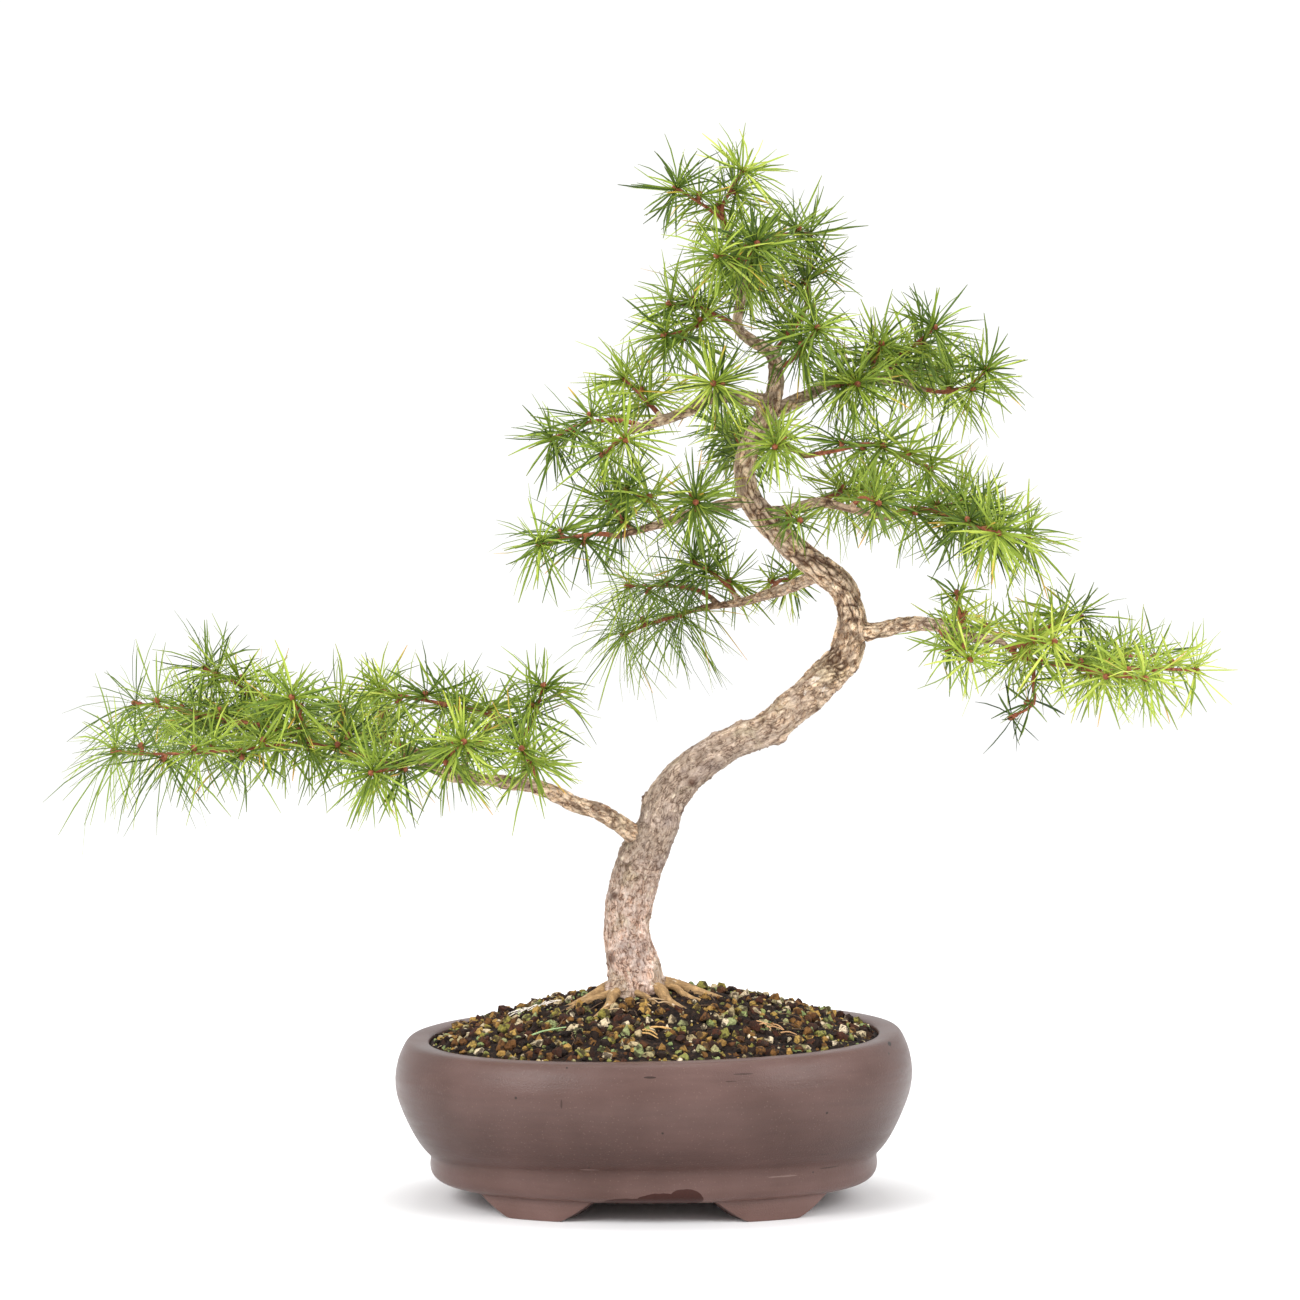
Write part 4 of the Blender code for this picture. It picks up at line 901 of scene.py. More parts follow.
# Leafy shoots. Each is a list of twigs, and a twig a list of points (x, z, depth) in mm.
# The first twig starts on the axis of the wood, and the others on a twig above them.
SHOOTS = {
    "low_left_tip": [
        [(-131, 216, -45), (-151, 221, -49), (-171, 227, -52), (-196, 235, -48),
         (-211, 238, -42), (-235, 243, -34), (-256, 246, -28)],
        [(-180, 230, -50), (-193, 247, -36), (-202, 253, -25), (-222, 263, -6)],
        [(-173, 227, -52), (-199, 224, -70), (-217, 222, -81), (-249, 221, -92),
         (-266, 222, -95)],
        [(-171, 227, -52), (-176, 238, -67), (-180, 247, -78)],
        [(-205, 237, -45), (-218, 237, -17), (-230, 236, 11), (-242, 234, 34)],
        [(-151, 221, -49), (-155, 234, -34), (-157, 244, -20)],
    ],
    "low_left_under": [[(-118, 218, -43), (-128, 214, -62), (-139, 212, -78)]],
    "low_left_front": [[(-102, 210, -42), (-103, 218, -62), (-96, 226, -84)]],
    "low_left_upper": [[(-74, 237, -8), (-91, 243, 0), (-115, 248, 8), (-134, 252, 14)]],
    "low_left_top": [[(-66, 229, -17), (-60, 239, -27), (-56, 252, -34)]],
    "low_left_back": [[(-120, 223, 48), (-134, 228, 64), (-150, 232, 78), (-166, 236, 87)],
                      [(-134, 228, 64), (-136, 240, 53), (-140, 248, 48)]],
    "low_left_inner": [[(-57, 204, -29), (-60, 213, -48), (-65, 222, -64)]],
    "low_left_behind": [[(-96, 213, -11), (-90, 224, 6), (-84, 233, 20)]],
    "low_right_tip": [
        [(173, 278, -34), (185, 269, -39), (208, 265, -42), (229, 264, -36),
         (245, 264, -31), (268, 263, -25)],
        [(179, 273, -36), (190, 281, -28), (200, 286, -20), (211, 289, -11)],
        [(178, 274, -36), (188, 276, -50), (198, 277, -63)],
        [(208, 265, -42), (220, 262, -62), (232, 260, -76), (243, 259, -87)],
        [(215, 265, -41), (226, 268, -20), (238, 270, 0), (249, 270, 17)],
        [(190, 268, -39), (190, 254, -41), (190, 246, -41), (182, 241, -39)],
    ],
    "low_right_upright": [[(153, 280, -25), (153, 288, -28), (152, 298, -31)]],
    "low_right_front": [[(142, 285, -20), (146, 279, -39), (152, 273, -56), (157, 269, -70)]],
    "low_right_back": [[(142, 285, -20), (150, 285, 6), (160, 284, 31), (172, 281, 53)]],
    "third_left_tip": [[(24, 294, 78), (14, 291, 84), (-2, 286, 90), (-12, 282, 92)]],
    "third_left_upper": [[(34, 295, 69), (22, 303, 76), (5, 305, 84), (-10, 305, 90)]],
    "third_left_top": [[(44, 297, 59), (34, 308, 64), (22, 316, 73)]],
    "third_left_inner": [[(58, 301, 42), (62, 307, 59), (68, 309, 76)]],
    "second_left_tip": [[(-18, 330, -34), (-30, 331, -39), (-54, 327, -50)]],
    "second_left_upper": [[(4, 336, -20), (1, 345, -27), (-11, 352, -35)]],
    "second_left_mid": [[(-10, 332, -28), (-16, 340, -17), (-22, 346, -6)]],
    "second_left_inner": [[(22, 342, -6), (21, 347, -22), (21, 347, -39)]],
    "upper_left_tip": [[(-11, 383, -39), (-17, 378, -43), (-23, 373, -46)]],
    "upper_left_far": [[(-4, 385, -34), (-20, 388, -28), (-36, 386, -22), (-48, 380, -18)]],
    "upper_left_top": [[(5, 388, -28), (-2, 396, -20), (-13, 407, -8)]],
    "upper_left_front": [[(32, 400, -6), (31, 404, -25), (30, 406, -43)]],
    "crown_left": [[(42, 434, 1), (31, 441, -7), (20, 445, -13), (11, 446, -18)],
                   [(31, 441, -7), (20, 434, -18), (8, 431, -27)]],
    "crown_apex": [[(41, 470, -4), (34, 491, -8), (38, 502, -11), (43, 510, -13)],
                   [(35, 488, -8), (24, 496, -14), (14, 502, -17)]],
    "crown_front": [[(43, 463, -3), (47, 468, -22), (51, 475, -41)],
                    [(47, 468, -22), (41, 469, -34), (34, 470, -42)]],
    "crown_right": [[(42, 466, -4), (54, 476, 11), (66, 481, 25), (76, 481, 36)]],
    "crown_back": [[(44, 452, -1), (46, 457, 22), (49, 460, 45), (51, 462, 64)]],
    "shoulder_right": [[(61, 413, 4), (69, 418, -8), (74, 425, -19), (80, 432, -28)]],
    "shoulder_up": [[(59, 421, 4), (68, 431, 14), (75, 441, 22), (77, 452, 28),
                     (78, 462, 34)]],
    "upper_right_mid": [[(100, 407, 32), (108, 413, 14), (113, 424, -1)]],
    "upper_right_top": [[(113, 408, 35), (121, 417, 22), (130, 425, 14), (138, 432, 8)]],
    "upper_right_tip": [[(132, 404, 36), (145, 402, 31), (157, 405, 22), (164, 411, 17)]],
    "upper_right_front": [[(88, 405, 29), (95, 406, 11), (101, 406, -10)]],
    "upper_right_back": [[(119, 408, 36), (126, 411, 59), (134, 414, 81), (142, 414, 98)]],
    "mid_right_tip": [[(76, 370, -25), (92, 373, -28), (108, 376, -28), (122, 371, -28),
                       (135, 365, -28)]],
    "mid_right_front": [[(63, 377, -11), (63, 377, -28), (61, 375, -45)]],
    "second_right_tip": [
        [(117, 339, -42), (131, 344, -45), (152, 339, -42), (161, 334, -39), (184, 329, -34)],
        [(141, 342, -45), (150, 346, -25), (160, 345, -6)],
        [(152, 339, -42), (160, 335, -62), (170, 332, -76)],
    ],
    "second_right_mid": [[(98, 344, -32), (104, 349, -43), (111, 347, -59)]],
    "second_right_back": [[(83, 347, -20), (92, 351, 0), (104, 353, 20), (116, 350, 36)]],
    "second_right_inner": [[(71, 344, -6), (67, 339, -22), (72, 338, -38)]],
    "back_high": [[(46, 364, 10), (46, 371, 36), (43, 376, 62), (39, 382, 87), (34, 384, 109)],
                  [(43, 376, 62), (52, 382, 76), (60, 386, 92)]],
}
TWIG_STEP = 4 * MM
STUB_ROOM = 2.5 * MM
STUB_RADIUS = 1.5 * MM

limbs = limb_paths()
limb_rows = limb_table(limbs)
twig_paths = {name: [smooth_path([seen(*p) for p in twig], TWIG_STEP) for twig in twigs]
              for name, twigs in SHOOTS.items()}
branches = [make_tube(path, radii, 3) for path, radii in limbs]
# A shoot leaves the wood on a short stub, which belongs to the wood.
twig_starts = {}
for shoot_name, paths in twig_paths.items():
    stub_end = MM
    while nearest_limb(np.array([point_at(paths[0], stub_end)[0]]), limb_rows)[2][0] < STUB_ROOM:
        stub_end += MM
    twig_starts[shoot_name] = stub_end
    stub = [p for p, far in zip(paths[0], travelled(paths[0])) if far < stub_end - MM]
    stub.append(point_at(paths[0], stub_end)[0])
    branches.append(make_tube(stub, [STUB_RADIUS] * len(stub), 2))
wood = join(branches)
apply_modifier(wood, "REMESH", mode="VOXEL", voxel_size=WOOD_VOXEL)
apply_modifier(wood, "SMOOTH", factor=0.5, iterations=4)
raise_bark(wood.data, limb_rows)
apply_modifier(wood, "DECIMATE", ratio=WOOD_KEPT)
settle(wood, "trunk_and_boughs", make_bark(), "bark", "wood")

# The shoots of the last two years are slim brown twigs with a short spur every centimetre.
# Each spur ends in a bud, and a tuft of soft flat needles fans out round it. Where a twig
# ends, single needles stand all round it in a brush.
SHOOT_RADII = (1.35 * MM, 0.75 * MM)
TWIG_RADII = (1.0 * MM, 0.7 * MM)
TUFT_SPACING = 12 * MM
SPUR_REACH = 3 * MM
GOLDEN_ANGLE = math.radians(137.5)
NEEDLES_PER_TUFT = (32, 44)
NEEDLE_LENGTH = (18.5 * MM, 30 * MM)
NEEDLE_WIDTH = 1.22 * MM
NEEDLE_FLATNESS = 0.4
NEEDLE_MODEL = [(0.3, 0), (0.5, 0.35), (0.48, 0.72), (0.15, 1)]
SPUR_MODEL_MM = [(1.0, 0), (1.25, 1.2), (1.05, 1.8), (1.7, 2.8), (1.6, 4.2), (0.7, 5.4)]
SPUR_RIM_MM = 0.8
TWIG_RIM_MM = 0.5
BRUSH_LENGTH = 16 * MM
BRUSH_SPACING = 1.1 * MM
# A needle keeps this clear of trunk and boughs, but for this share of it at its foot.
WOOD_CLEAR = 0.6 * MM
NEEDLE_FOOT = 0.1
# A needle may stand this far outside the CAD box.
NEEDLES_PROUD = 14 * MM
# Weaker shoots, or single twigs of one, have shorter needles and fewer of them: each pair
# is the share of the full length and the share of the full number.
VIGOUR = {
    "low_right_upright": (0.6, 0.55), ("low_right_tip", 5): (0.7, 0.3),
    "low_right_tip": (0.9, 0.6), "low_right_front": (0.82, 0.65), "low_right_back": (0.8, 0.4),
    "low_left_tip": (1.0, 0.88),
    "second_right_inner": (0.65, 0.5), "third_left_inner": (0.8, 0.6),
    "low_left_behind": (0.8, 0.7), "low_left_back": (0.9, 0.7), "back_high": (0.9, 0.7),
    "mid_right_front": (0.85, 0.8), "second_right_mid": (0.9, 0.8), "crown_back": (0.9, 0.8),
}
# The needles hang, longer and thinner, on these shoots, and on the lowest left bough from
# this far to the left, more and more over the next stretch.
HANGING = ("third_left_tip", "third_left_upper")
HANG_FROM = 190 * MM
HANG_OVER = 60 * MM
HANG_LONGER, HANG_THINNER, HANG_SAG = 0.3, 0.35, 0.25
# Tints run from 0, dark, to 1, pale. A twig with fewer needles than the starved share is
# duller, and the shoots of one bough are fresher.
BRUSH_TINT = (0.42, 0.74)
TUFT_TINT = (0.26, 0.72)
TINT_SPREAD = 0.22
FRESH_BOUGH = "low_right"
FRESHER = 0.1
STARVED = 0.35
DULLER = 0.4
DRY_SHARE = 0.03
draw = random.Random(3)


def take_mesh(model):
    """The corners and the triangles of a small model, which is then removed."""
    points = get_points(model.data)
    faces = np.array([list(face.vertices) for face in model.data.polygons])
    bpy.data.objects.remove(model, do_unlink=True)
    return points, faces


def model_lathe(sides, rings):
    """A small turned model, drawn out ring by ring: (radius, height) from its foot."""
    (radius, z), rest = rings[0], rings[1:]
    model = turn_rings(radius, z, rest, sides)
    choose(model)
    bpy.ops.object.mode_set(mode="EDIT")
    bpy.ops.mesh.select_all(action="SELECT")
    bpy.ops.mesh.quads_convert_to_tris()
    bpy.ops.object.mode_set(mode="OBJECT")
    return take_mesh(model)


def mesh_of_copies(name, corners, faces):
    """One mesh of many placed copies of a model, from their corners (copy, corner, axis)."""
    count, per_copy = corners.shape[:2]
    shift = (np.arange(count) * per_copy)[:, None, None]
    ids = (faces[None] + shift).reshape(-1, 3)
    mesh = bpy.data.meshes.new(name)
    mesh.vertices.add(count * per_copy)
    mesh.vertices.foreach_set("co", corners.ravel())
    mesh.loops.add(len(ids) * 3)
    mesh.loops.foreach_set("vertex_index", ids.ravel())
    mesh.polygons.add(len(ids))
    mesh.polygons.foreach_set("loop_start", np.arange(len(ids)) * 3)
    mesh.update(calc_edges=True)
    mesh.validate()
    piece = bpy.data.objects.new(name, mesh)
    bpy.context.collection.objects.link(piece)
    return piece


def find_tufts(paths, start):
    """Each tuft as its place, the way its spur points and its twig's number."""
    tufts = []
    for number, path in enumerate(paths):
        whole = travelled(path)[-1]
        first = start + 2 * MM if number == 0 else 5 * MM
        tip, along = point_at(path, whole)
        tufts.append((tip, along, number))
        turn = draw.uniform(0, 6)
        far = whole - TUFT_SPACING * 0.8
        while far > first:
            place, along = point_at(path, far)
            side = along.orthogonal().normalized()
            side.rotate(Matrix.Rotation(turn, 3, along))
            out = (side + 0.3 * along + Vector((0, 0, 0.3))).normalized()
            tufts.append((place, out, number))
            turn += GOLDEN_ANGLE + draw.uniform(-0.3, 0.3)
            far -= TUFT_SPACING * draw.uniform(0.8, 1.15)
    return tufts


def tuft_needles(place, out, fill):
    """The needles of one tuft: where each starts and the way it points."""
    base = place + out * SPUR_REACH
    side = out.orthogonal().normalized()
    count = round(draw.randint(*NEEDLES_PER_TUFT) * fill)
    needles = []
    for i in range(count):
        lean = math.radians(18 + 92 * math.sqrt((i + 0.5) / count) + draw.gauss(0, 7))
        round_it = Matrix.Rotation(i * GOLDEN_ANGLE + draw.uniform(-0.25, 0.25), 3, out)
        rim = side.copy()
        rim.rotate(round_it)
        way = (out * math.cos(lean) + rim * math.sin(lean)).normalized()
        needles.append((base + rim * SPUR_RIM_MM * MM, way))
    return needles


def brush_needles(path):
    """Single needles in a spiral round the end of a twig."""
    whole = travelled(path)[-1]
    needles = []
    turn = draw.uniform(0, 6)
    for k in range(int(BRUSH_LENGTH / BRUSH_SPACING)):
        place, along = point_at(path, whole - k * BRUSH_SPACING)
        side = along.orthogonal().normalized()
        side.rotate(Matrix.Rotation(turn, 3, along))
        turn += GOLDEN_ANGLE
        lean = math.radians(min(70, 25 + 4.5 * k) + draw.gauss(0, 6))
        way = (along * math.cos(lean) + side * math.sin(lean)).normalized()
        needles.append((place + side * TWIG_RIM_MM * MM, way))
    return needles


def needle_corners(starts, ways, reaches, hang, model):
    """The corners of every needle: each is bowed a little and sags under its weight."""
    count = len(starts)
    spin = np.array([draw.uniform(0, 6.3) for _ in range(count)])
    length = np.array([draw.uniform(*NEEDLE_LENGTH) for _ in range(count)]) * reaches
    width = np.array([draw.uniform(0.85, 1.15) for _ in range(count)]) * NEEDLE_WIDTH
    bow = np.array([draw.gauss(0.1, 0.27) for _ in range(count)])
    sag = np.array([draw.uniform(0.0, 0.28) for _ in range(count)])
    outer = np.maximum(hang, np.clip((-starts[:, 0] - HANG_FROM) / HANG_OVER, 0, 1))
    length *= 1 + HANG_LONGER * outer
    sag += HANG_SAG * outer
    width *= 1 - HANG_THINNER * outer
    helper = np.where(np.abs(ways[:, 2:3]) < 0.9, [[0.0, 0.0, 1.0]], [[1.0, 0.0, 0.0]])
    side = np.cross(ways, helper)
    side /= np.linalg.norm(side, axis=1)[:, None]
    up = np.cross(side, ways)
    c, s = np.cos(spin)[:, None], np.sin(spin)[:, None]
    side, up = side * c + up * s, up * c - side * s
    x, y, t = model[:, 0], model[:, 1], model[:, 2]
    corners = (starts[:, None] + ways[:, None] * (length[:, None] * t)[..., None]
               + side[:, None] * (width[:, None] * x)[..., None]
               + up[:, None] * (width[:, None] * y + (bow * length)[:, None] * t * t)[..., None])
    level = np.sqrt(1 - ways[:, 2] ** 2)
    corners[..., 2] -= (sag * level * length)[:, None] * t * t
    return corners


def make_needle_green():
    """Larch needles: soft, a little waxy and see-through, yellow-green in the light."""
    material, tree, shader = new_finish("soft_larch_needles")
    parts = add_node(tree, "ShaderNodeAttribute", attribute_name="needle").node
    parts = add_node(tree, "ShaderNodeSeparateXYZ", {"Vector": parts.outputs["Vector"]})
    parts = parts.node.outputs
    fresh = add_node(tree, "ShaderNodeValToRGB", {"Fac": parts["Y"]},
                     [(0.0, "#2f451d"), (0.35, "#647d2d"), (0.7, "#a9bf48"), (1.0, "#dce56e")])
    ends = add_node(tree, "ShaderNodeValToRGB", {"Fac": parts["X"]},
                    [(0.0, "#b9c66a"), (0.2, "#ffffff"), (0.8, "#ffffff"), (1.0, "#fff0b0")])
    body = add_node(tree, "ShaderNodeMixRGB", {"Fac": 1.0, "Color1": fresh, "Color2": ends},
                    blend_type="MULTIPLY")
    dry = add_node(tree, "ShaderNodeMapRange", {"Value": parts["X"], "From Min": 0.55,
                                                "From Max": 0.95})
    dry = add_node(tree, "ShaderNodeMath", {0: dry, 1: parts["Z"]}, operation="MULTIPLY")
    body = add_node(tree, "ShaderNodeMixRGB", {"Fac": dry, "Color1": body,
                                               "Color2": shade("#dfae4a")})
    tree.links.new(body, shader.inputs["Base Color"])
    shader.inputs["Roughness"].default_value = 0.45
    shader.inputs["IOR"].default_value = 1.42
    shader.inputs["Specular IOR Level"].default_value = 0.35
    through = add_node(tree, "ShaderNodeBsdfTranslucent", {"Color": body})
    mixed = add_node(tree, "ShaderNodeMixShader", {0: 0.24, 1: shader.outputs["BSDF"],
                                                   2: through})
    tree.links.new(mixed, tree.nodes["Material Output"].inputs["Surface"])
    return material


def make_twig_bark():
    """Young bark: smooth and red-brown, with a dull grey bloom."""
    material, tree, shader = new_finish("young_larch_bark")
    where = add_node(tree, "ShaderNodeTexCoord").node.outputs["Object"]
    bloom = add_node(tree, "ShaderNodeTexNoise", {"Vector": where, "Scale": 600, "Detail": 3})
    tone = add_node(tree, "ShaderNodeValToRGB", {"Fac": bloom},
                    [(0.3, "#6a3620"), (0.55, "#934f2e"), (0.8, "#b07a55")])
    tree.links.new(tone, shader.inputs["Base Color"])
    rough = add_node(tree, "ShaderNodeBump", {"Height": bloom, "Strength": 0.5,
                                              "Distance": 0.3 * MM})
    tree.links.new(rough, shader.inputs["Normal"])
    shader.inputs["Roughness"].default_value = 0.7
    return material


def make_twigs(paths, start):
    """A shoot's twigs. The first begins where its stub of the wood ends."""
    twigs = []
    for number, path in enumerate(paths):
        if number == 0:
            kept = [p for p, far in zip(path, travelled(path)) if far > start + MM]
            path = [point_at(path, start)[0]] + kept
        thick, thin = SHOOT_RADII if number == 0 else TWIG_RADII
        twigs.append(make_tube(path, tapered(path, thick, thin), 1))
    return twigs


def find_needles(name, paths, tufts):
    """Where each needle of a shoot starts, its way, its share of length and its tint."""
    vigour = [VIGOUR.get((name, number), VIGOUR.get(name, (1, 1)))
              for number in range(len(paths))]
    dull = [DULLER if fill < STARVED else 0 for _, fill in vigour]
    sprigs = [(brush_needles(path), *vigour[number], draw.uniform(*BRUSH_TINT) - dull[number])
              for number, path in enumerate(paths)]
    # A weak twig's brush loses needles below, but its tufts are drawn with fewer.
    sprigs += [(tuft_needles(place, out, vigour[number][1]), vigour[number][0], 1,
                draw.uniform(*TUFT_TINT) - dull[number]) for place, out, number in tufts]
    fresh = FRESHER if name.startswith(FRESH_BOUGH) else 0
    starts, ways, reaches, tints = [], [], [], []
    for sprig, reach, fill, tint in sprigs:
        for root, way in sprig:
            if draw.random() <= fill:
                starts.append(root)
                ways.append(way)
                reaches.append(reach)
                tints.append(tint + fresh + draw.uniform(-TINT_SPREAD, TINT_SPREAD))
    return np.array(starts), np.array(ways), np.array(reaches), np.array(tints)


def has_room(corners):
    """Which needles grow: those clear of trunk and boughs that keep to the tree's size."""
    beyond_foot = needle_model[:, 2] > NEEDLE_FOOT
    room = nearest_limb(corners[:, beyond_foot].reshape(-1, 3), limb_rows)[2]
    grown = room.reshape(len(corners), -1).min(1) > WOOD_CLEAR
    for axis in range(3):
        lowest = cad_low[axis] - POT_CENTRE[axis] - NEEDLES_PROUD
        highest = cad_high[axis] - POT_CENTRE[axis] + NEEDLES_PROUD
        grown &= corners[..., axis].min(1) > lowest
        grown &= corners[..., axis].max(1) < highest
    return grown


needle_model, needle_faces = model_lathe(3, NEEDLE_MODEL)
needle_model[:, 1] *= NEEDLE_FLATNESS
spur_model, spur_faces = model_lathe(6, SPUR_MODEL_MM)
needle_green = make_needle_green()
twig_bark = make_twig_bark()
for shoot_name, paths in twig_paths.items():
    tufts = find_tufts(paths, twig_starts[shoot_name])
    twigs = make_twigs(paths, twig_starts[shoot_name])
    starts, ways, reaches, tints = find_needles(shoot_name, paths, tufts)
    corners = needle_corners(starts, ways, reaches, shoot_name in HANGING, needle_model)
    grown = has_room(corners)
    corners, tints = corners[grown], np.clip(tints[grown], 0, 1)
    needles = mesh_of_copies("needles", corners, needle_faces)
    dry = np.array([draw.random() < DRY_SHARE for _ in tints], float)
    along = np.tile(needle_model[:, 2], len(corners))
    each = len(needle_model)
    put_attribute(needles.data, "needle", "FLOAT_VECTOR", "vector",
                  np.stack([along, np.repeat(tints, each), np.repeat(dry, each)], 1))
    settle(needles, "needles_" + shoot_name, needle_green, "needles", "spray_" + shoot_name)
    spur_corners = []
    for place, out, _ in tufts:
        turn = out.to_track_quat("Z", "Y").to_matrix()
        spur_corners.append([tuple(place + turn @ (Vector(corner) * MM))
                             for corner in spur_model])
    spurs = mesh_of_copies("spurs", np.array(spur_corners), spur_faces)
    twig = join([*twigs, spurs])
    settle(twig, "twigs_" + shoot_name, twig_bark, "bark", "spray_" + shoot_name)

# The top of the soil is strewn with grit: grains of fired clay, pumice, lava and bark,
# 1 to 8 mm across, as they were poured and watered in.
GRAIN_COUNT = 4600
GRAIN_RADII = (0.7 * MM, 4.0 * MM)
# Grains have eight shapes: the even ones are for large grains, the odd ones are simpler.
GRAIN_KINDS = 8
GRAIN_CHIPS = 5
LARGE_FROM = 1.8 * MM
GRAINS_WITHIN = 0.985
# A grain's radius may grow by this much from the rim of the soil to its middle.
GRAIN_GROWTH_MM = 40


def make_grit():
    """Crushed stone and fired clay: chalky, each grain of its own colour."""
    material, tree, shader = new_finish("fired_clay_and_pumice_grit")
    kind = add_node(tree, "ShaderNodeAttribute", attribute_name="grain").node.outputs["Fac"]
    where = add_node(tree, "ShaderNodeTexCoord").node.outputs["Object"]
    tone = add_node(tree, "ShaderNodeValToRGB", {"Fac": kind},
                    [(0.0, "#0c0807"), (0.34, "#21140e"), (0.5, "#4f2c1d"), (0.6, "#835c2e"),
                     (0.69, "#bb944f"), (0.78, "#8f873e"), (0.86, "#8d9f66"), (0.93, "#b8a37a"),
                     (1.0, "#fae6c4")])
    powder = add_node(tree, "ShaderNodeTexNoise", {"Vector": where, "Scale": 900,
                                                   "Detail": 4})
    worn = add_node(tree, "ShaderNodeMapRange", {"Value": powder, "From Min": 0.3,
                                                 "From Max": 0.7, "To Min": 0.55,
                                                 "To Max": 1.15})
    body = add_node(tree, "ShaderNodeMixRGB", {"Fac": 1.0, "Color1": tone, "Color2": worn},
                    blend_type="MULTIPLY")
    mud = add_node(tree, "ShaderNodeTexNoise", {"Vector": where, "Scale": 330, "Detail": 4})
    mud = add_node(tree, "ShaderNodeMapRange", {"Value": mud, "From Min": 0.48,
                                                "From Max": 0.57, "To Max": 0.85})
    body = add_node(tree, "ShaderNodeMixRGB", {"Fac": mud, "Color1": body,
                                               "Color2": shade("#2c1f18")})
    tree.links.new(body, shader.inputs["Base Color"])
    rough = add_node(tree, "ShaderNodeBump", {"Height": powder, "Strength": 0.7,
                                              "Distance": 0.6 * MM})
    tree.links.new(rough, shader.inputs["Normal"])
    shader.inputs["Roughness"].default_value = 0.9
    shader.inputs["Specular IOR Level"].default_value = 0.3
    return material


def model_grain(big):
    """A lump with chipped sides, as the corners and triangles of a unit grain."""
    deselect()
    if big:
        bpy.ops.mesh.primitive_uv_sphere_add(segments=7, ring_count=5, radius=1)
    else:
        bpy.ops.mesh.primitive_ico_sphere_add(subdivisions=1, radius=1)
    lump = bpy.context.object
    apply_modifier(lump, "TRIANGULATE")
    points, faces = take_mesh(lump)
    points += np.array([[draw.uniform(-0.16, 0.16) for _ in range(3)] for _ in points])
    for _ in range(GRAIN_CHIPS):
        way = np.array([draw.gauss(0, 1) for _ in range(3)])
        way /= np.linalg.norm(way)
        over = np.maximum(0, points @ way - draw.uniform(0.35, 0.65))
        points -= over[:, None] * way
    return points, faces


grain_models = [model_grain(kind % 2 == 0) for kind in range(GRAIN_KINDS)]
grain_sets = [[] for _ in range(GRAIN_KINDS)]
placed = 0
while placed < GRAIN_COUNT:
    x = draw.uniform(-1, 1) * SOIL_EDGE[0]
    y = draw.uniform(-1, 1) * SOIL_EDGE[1]
    if soil_share(x, y) > GRAINS_WITHIN:
        continue
    hue = draw.random()
    size = GRAIN_RADII[0] + (GRAIN_RADII[1] - GRAIN_RADII[0]) * draw.random() ** 2.2
    # The black and brown grains are the smaller ones, and so are those along the rim.
    size *= 0.6 + 0.4 * min(1, hue / 0.5)
    size = min(size, (1 - soil_share(x, y)) * GRAIN_GROWTH_MM * MM + GRAIN_RADII[0])
    z = soil_height(x, y) + size * draw.uniform(-0.45, 0.45)
    if nearest_limb(np.array([[x, y, z]]), limb_rows)[2][0] < size * 0.8:
        continue
    turn = Matrix.Rotation(draw.uniform(0, 6.3), 3, Vector(
        (draw.gauss(0, 1), draw.gauss(0, 1), draw.gauss(0, 1))).normalized())
    kind = placed % GRAIN_KINDS // 2 * 2 + (size < LARGE_FROM)
    grain_sets[kind].append((Vector((x, y, z)), turn, size, hue))
    placed += 1
heaps = []
for (points, faces), grains in zip(grain_models, grain_sets):
    corners = np.array([[tuple(place + turn @ (Vector(p) * size)) for p in points]
                        for place, turn, size, _ in grains])
    heap = mesh_of_copies("grit", corners, faces)
    put_attribute(heap.data, "grain", "FLOAT", "value",
                  np.repeat([kind for *_, kind in grains], len(points)))
    heaps.append(heap)
grit = join(heaps)
settle(grit, "soil_grit", make_grit(), "soil", smooth=15)

# A little litter lies on the soil: rootlets washed bare, dry straw, loose hairs and one
# blade of grass. Each is a thin tube that follows the ground.
LITTER_STEPS = 6
# How high its ends lie, and how much higher its middle, in mm, and which ways it may point.
LITTER_LIFT = 1.8
LITTER_ARCH = 0.7
LITTER_TURN = (-0.9, 0.5)
# A row holds the slot, the colour, the radius, how many there are, their middle and how far
# round it they lie (x, y, half x, half y), the length, and the curl. Lengths are in mm.
LITTER = {
    "bare_rootlets": ("bark", "#fff4e8", 0.3, 16, (-64, -4, 11, 5), 10, 0.8),
    "front_rootlets": ("bark", "#d9b88e", 0.4, 7, (-12, -30, 16, 9), 9, 0.25),
    "dry_straw": ("soil", "#dcae6c", 0.45, 5, (-3, -58, 4, 3), 11, 0.06),
    "dry_straw_right": ("soil", "#cfa070", 0.4, 5, (56, -48, 6, 5), 11, 0.1),
    "loose_hairs": ("soil", "#6e543c", 0.22, 14, (10, -35, 60, 25), 14, 0.4),
    "grass_blade": ("needles", "#a9c48a", 0.5, 1, (-60, -50, 0.1, 0.1), 18, 0.12),
}


def make_litter(name, code):
    """Plant fibre: dull and dry, of one colour with darker spots."""
    material, tree, shader = new_finish(name)
    where = add_node(tree, "ShaderNodeTexCoord").node.outputs["Object"]
    grain = add_node(tree, "ShaderNodeTexNoise", {"Vector": where, "Scale": 700, "Detail": 3})
    worn = add_node(tree, "ShaderNodeMapRange", {"Value": grain, "From Min": 0.3,
                                                 "From Max": 0.7, "To Min": 0.65,
                                                 "To Max": 1.1})
    body = add_node(tree, "ShaderNodeMixRGB", {"Fac": 1.0, "Color1": shade(code),
                                               "Color2": worn}, blend_type="MULTIPLY")
    tree.links.new(body, shader.inputs["Base Color"])
    shader.inputs["Roughness"].default_value = 0.8
    return material


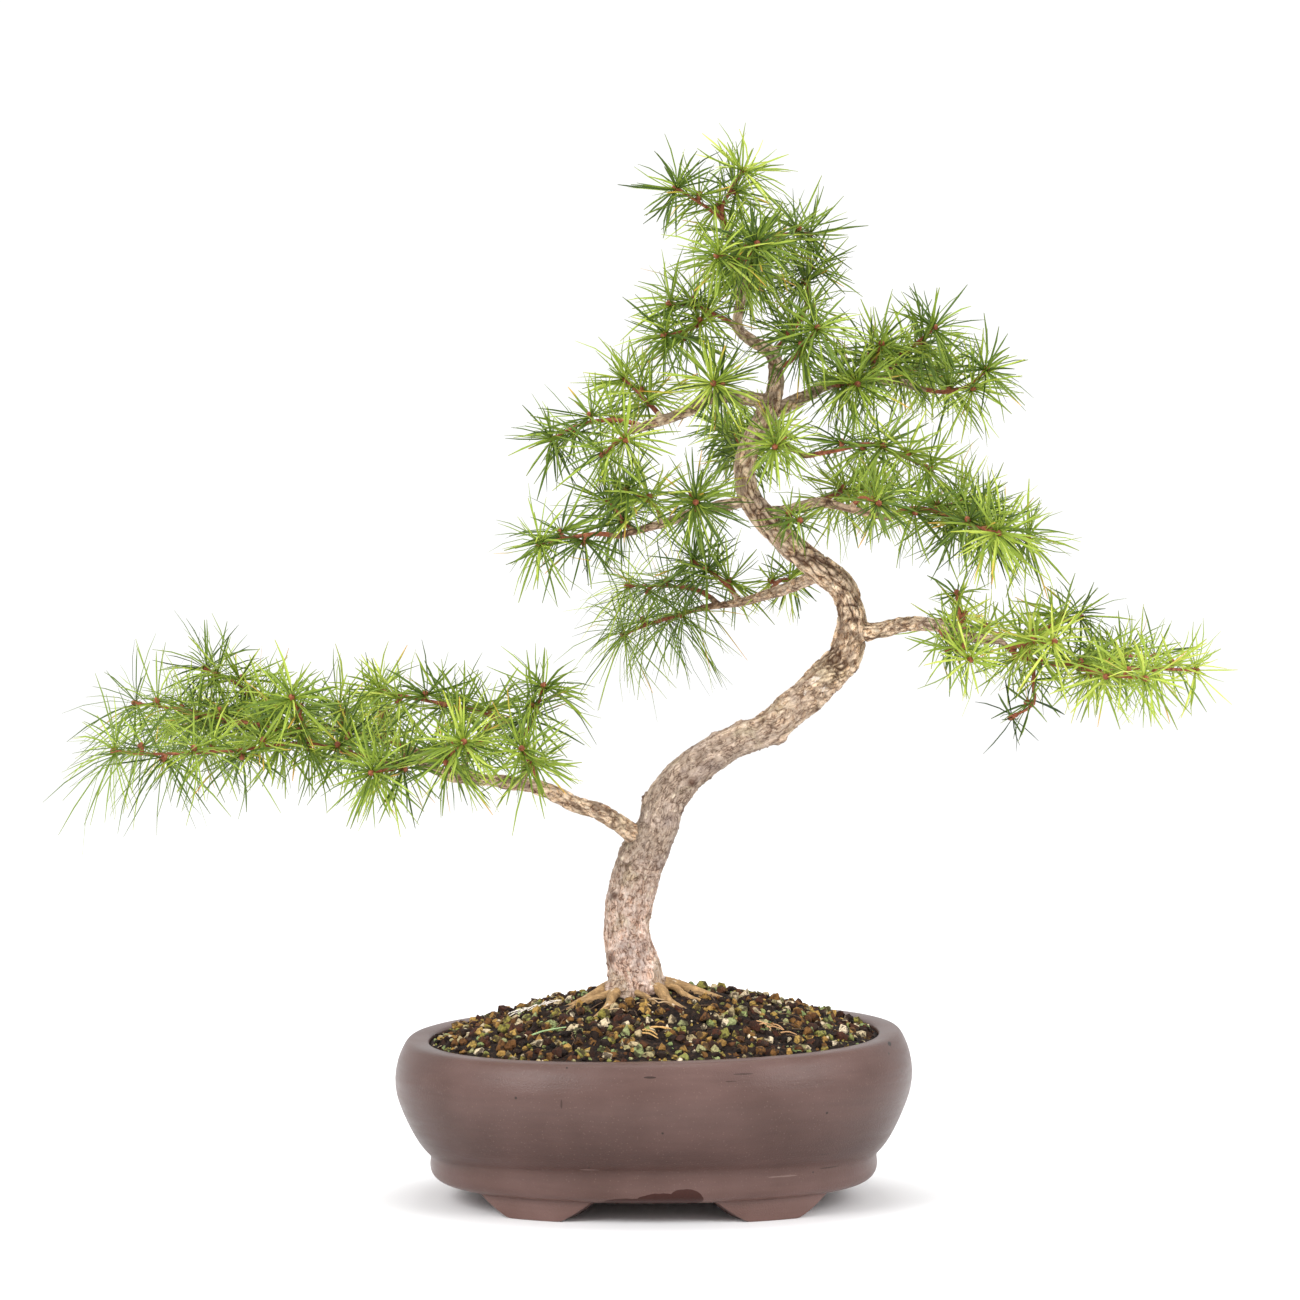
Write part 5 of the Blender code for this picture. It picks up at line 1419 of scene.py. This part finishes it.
for litter_name, (slot, code, thick, count, spread, length, curl) in LITTER.items():
    threads = []
    for _ in range(count):
        x = (spread[0] + draw.uniform(-1, 1) * spread[2]) * MM
        y = (spread[1] + draw.uniform(-1, 1) * spread[3]) * MM
        turn = draw.uniform(*LITTER_TURN)
        step = length * MM * draw.uniform(0.6, 1.1) / LITTER_STEPS
        points = []
        for k in range(LITTER_STEPS + 1):
            lift = LITTER_LIFT + LITTER_ARCH * math.sin(math.pi * k / LITTER_STEPS)
            points.append(Vector((x, y, soil_height(x, y) + lift * MM)))
            turn += draw.gauss(0, curl)
            x += step * math.cos(turn)
            y += step * math.sin(turn)
        threads.append(make_tube(points, tapered(points, thick * MM, thick * 0.6 * MM), 1))
    settle(join(threads), litter_name, make_litter(litter_name + "_fibre", code), slot)

# The tree stands on a plain white studio floor, lit by large soft boxes. The camera is
# level with the middle of the tree, where the points of the wood were sighted from, and
# its frame is 650 mm wide at the tree.
VIEW_HEIGHT = SIGHT_Z * MM
VIEW_DISTANCE = SIGHT_DISTANCE * MM
VIEW_SIDE = -1.85 * MM
VIEW_HALF_WIDTH = 325 * MM


def make_paper():
    """White studio paper: matt, and a little greyer near the tree, where it is lit most."""
    material, tree, shader = new_finish("white_studio_paper")
    where = add_node(tree, "ShaderNodeTexCoord").node.outputs["Object"]
    away = add_node(tree, "ShaderNodeVectorMath", {0: where}, operation="LENGTH")
    away = add_node(tree, "ShaderNodeMapRange", {"Value": away.node.outputs["Value"],
                                                 "From Min": 0.4, "From Max": 2.4})
    tone = add_node(tree, "ShaderNodeValToRGB", {"Fac": away},
                    [(0.0, "#f8f8f9"), (1.0, "#fdfdfd")])
    tree.links.new(tone, shader.inputs["Base Color"])
    shader.inputs["Roughness"].default_value = 0.95
    shader.inputs["Specular IOR Level"].default_value = 0.1
    return material


deselect()
bpy.ops.mesh.primitive_circle_add(vertices=96, radius=30, fill_type="NGON")
floor = bpy.context.object
floor.name = "studio_floor"
floor.data.materials.append(make_paper())


# Soft boxes: place and side in metres, and power in watts. All point at the tree's middle.
SOFTBOXES = {
    "softbox_left": ((-1.5, -1.5, 1.5), 1.0, 30),
    "softbox_right": ((1.7, -1.3, 1.3), 1.0, 22),
    "softbox_top": ((0, 0.1, 2.0), 1.2, 18),
}
LIGHTS_AIM = Vector((0, 0, 0.25))
for light_name, (place, side, power) in SOFTBOXES.items():
    light = bpy.data.lights.new(light_name, "AREA")
    light.shape = "RECTANGLE"
    light.size, light.size_y = side, side
    light.energy = power
    lamp = bpy.data.objects.new(light_name, light)
    lamp.location = place
    lamp.rotation_euler = (LIGHTS_AIM - Vector(place)).to_track_quat("-Z", "Y").to_euler()
    bpy.context.collection.objects.link(lamp)
world = bpy.data.worlds.new("white_surround")
world.use_nodes = True
world.node_tree.nodes["Background"].inputs["Color"].default_value = (1, 1, 1, 1)
world.node_tree.nodes["Background"].inputs["Strength"].default_value = 1.06
bpy.context.scene.world = world
bpy.context.scene.view_settings.view_transform = "Standard"

lens = bpy.data.cameras.new("camera")
lens.sensor_fit = "HORIZONTAL"
lens.angle = 2 * math.atan(VIEW_HALF_WIDTH / VIEW_DISTANCE)
lens.clip_end = 100
camera = bpy.data.objects.new("camera", lens)
camera.location = POT_CENTRE + Vector((VIEW_SIDE, -VIEW_DISTANCE, VIEW_HEIGHT))
camera.rotation_euler = (math.radians(90), 0, 0)
bpy.context.collection.objects.link(camera)
bpy.context.scene.camera = camera
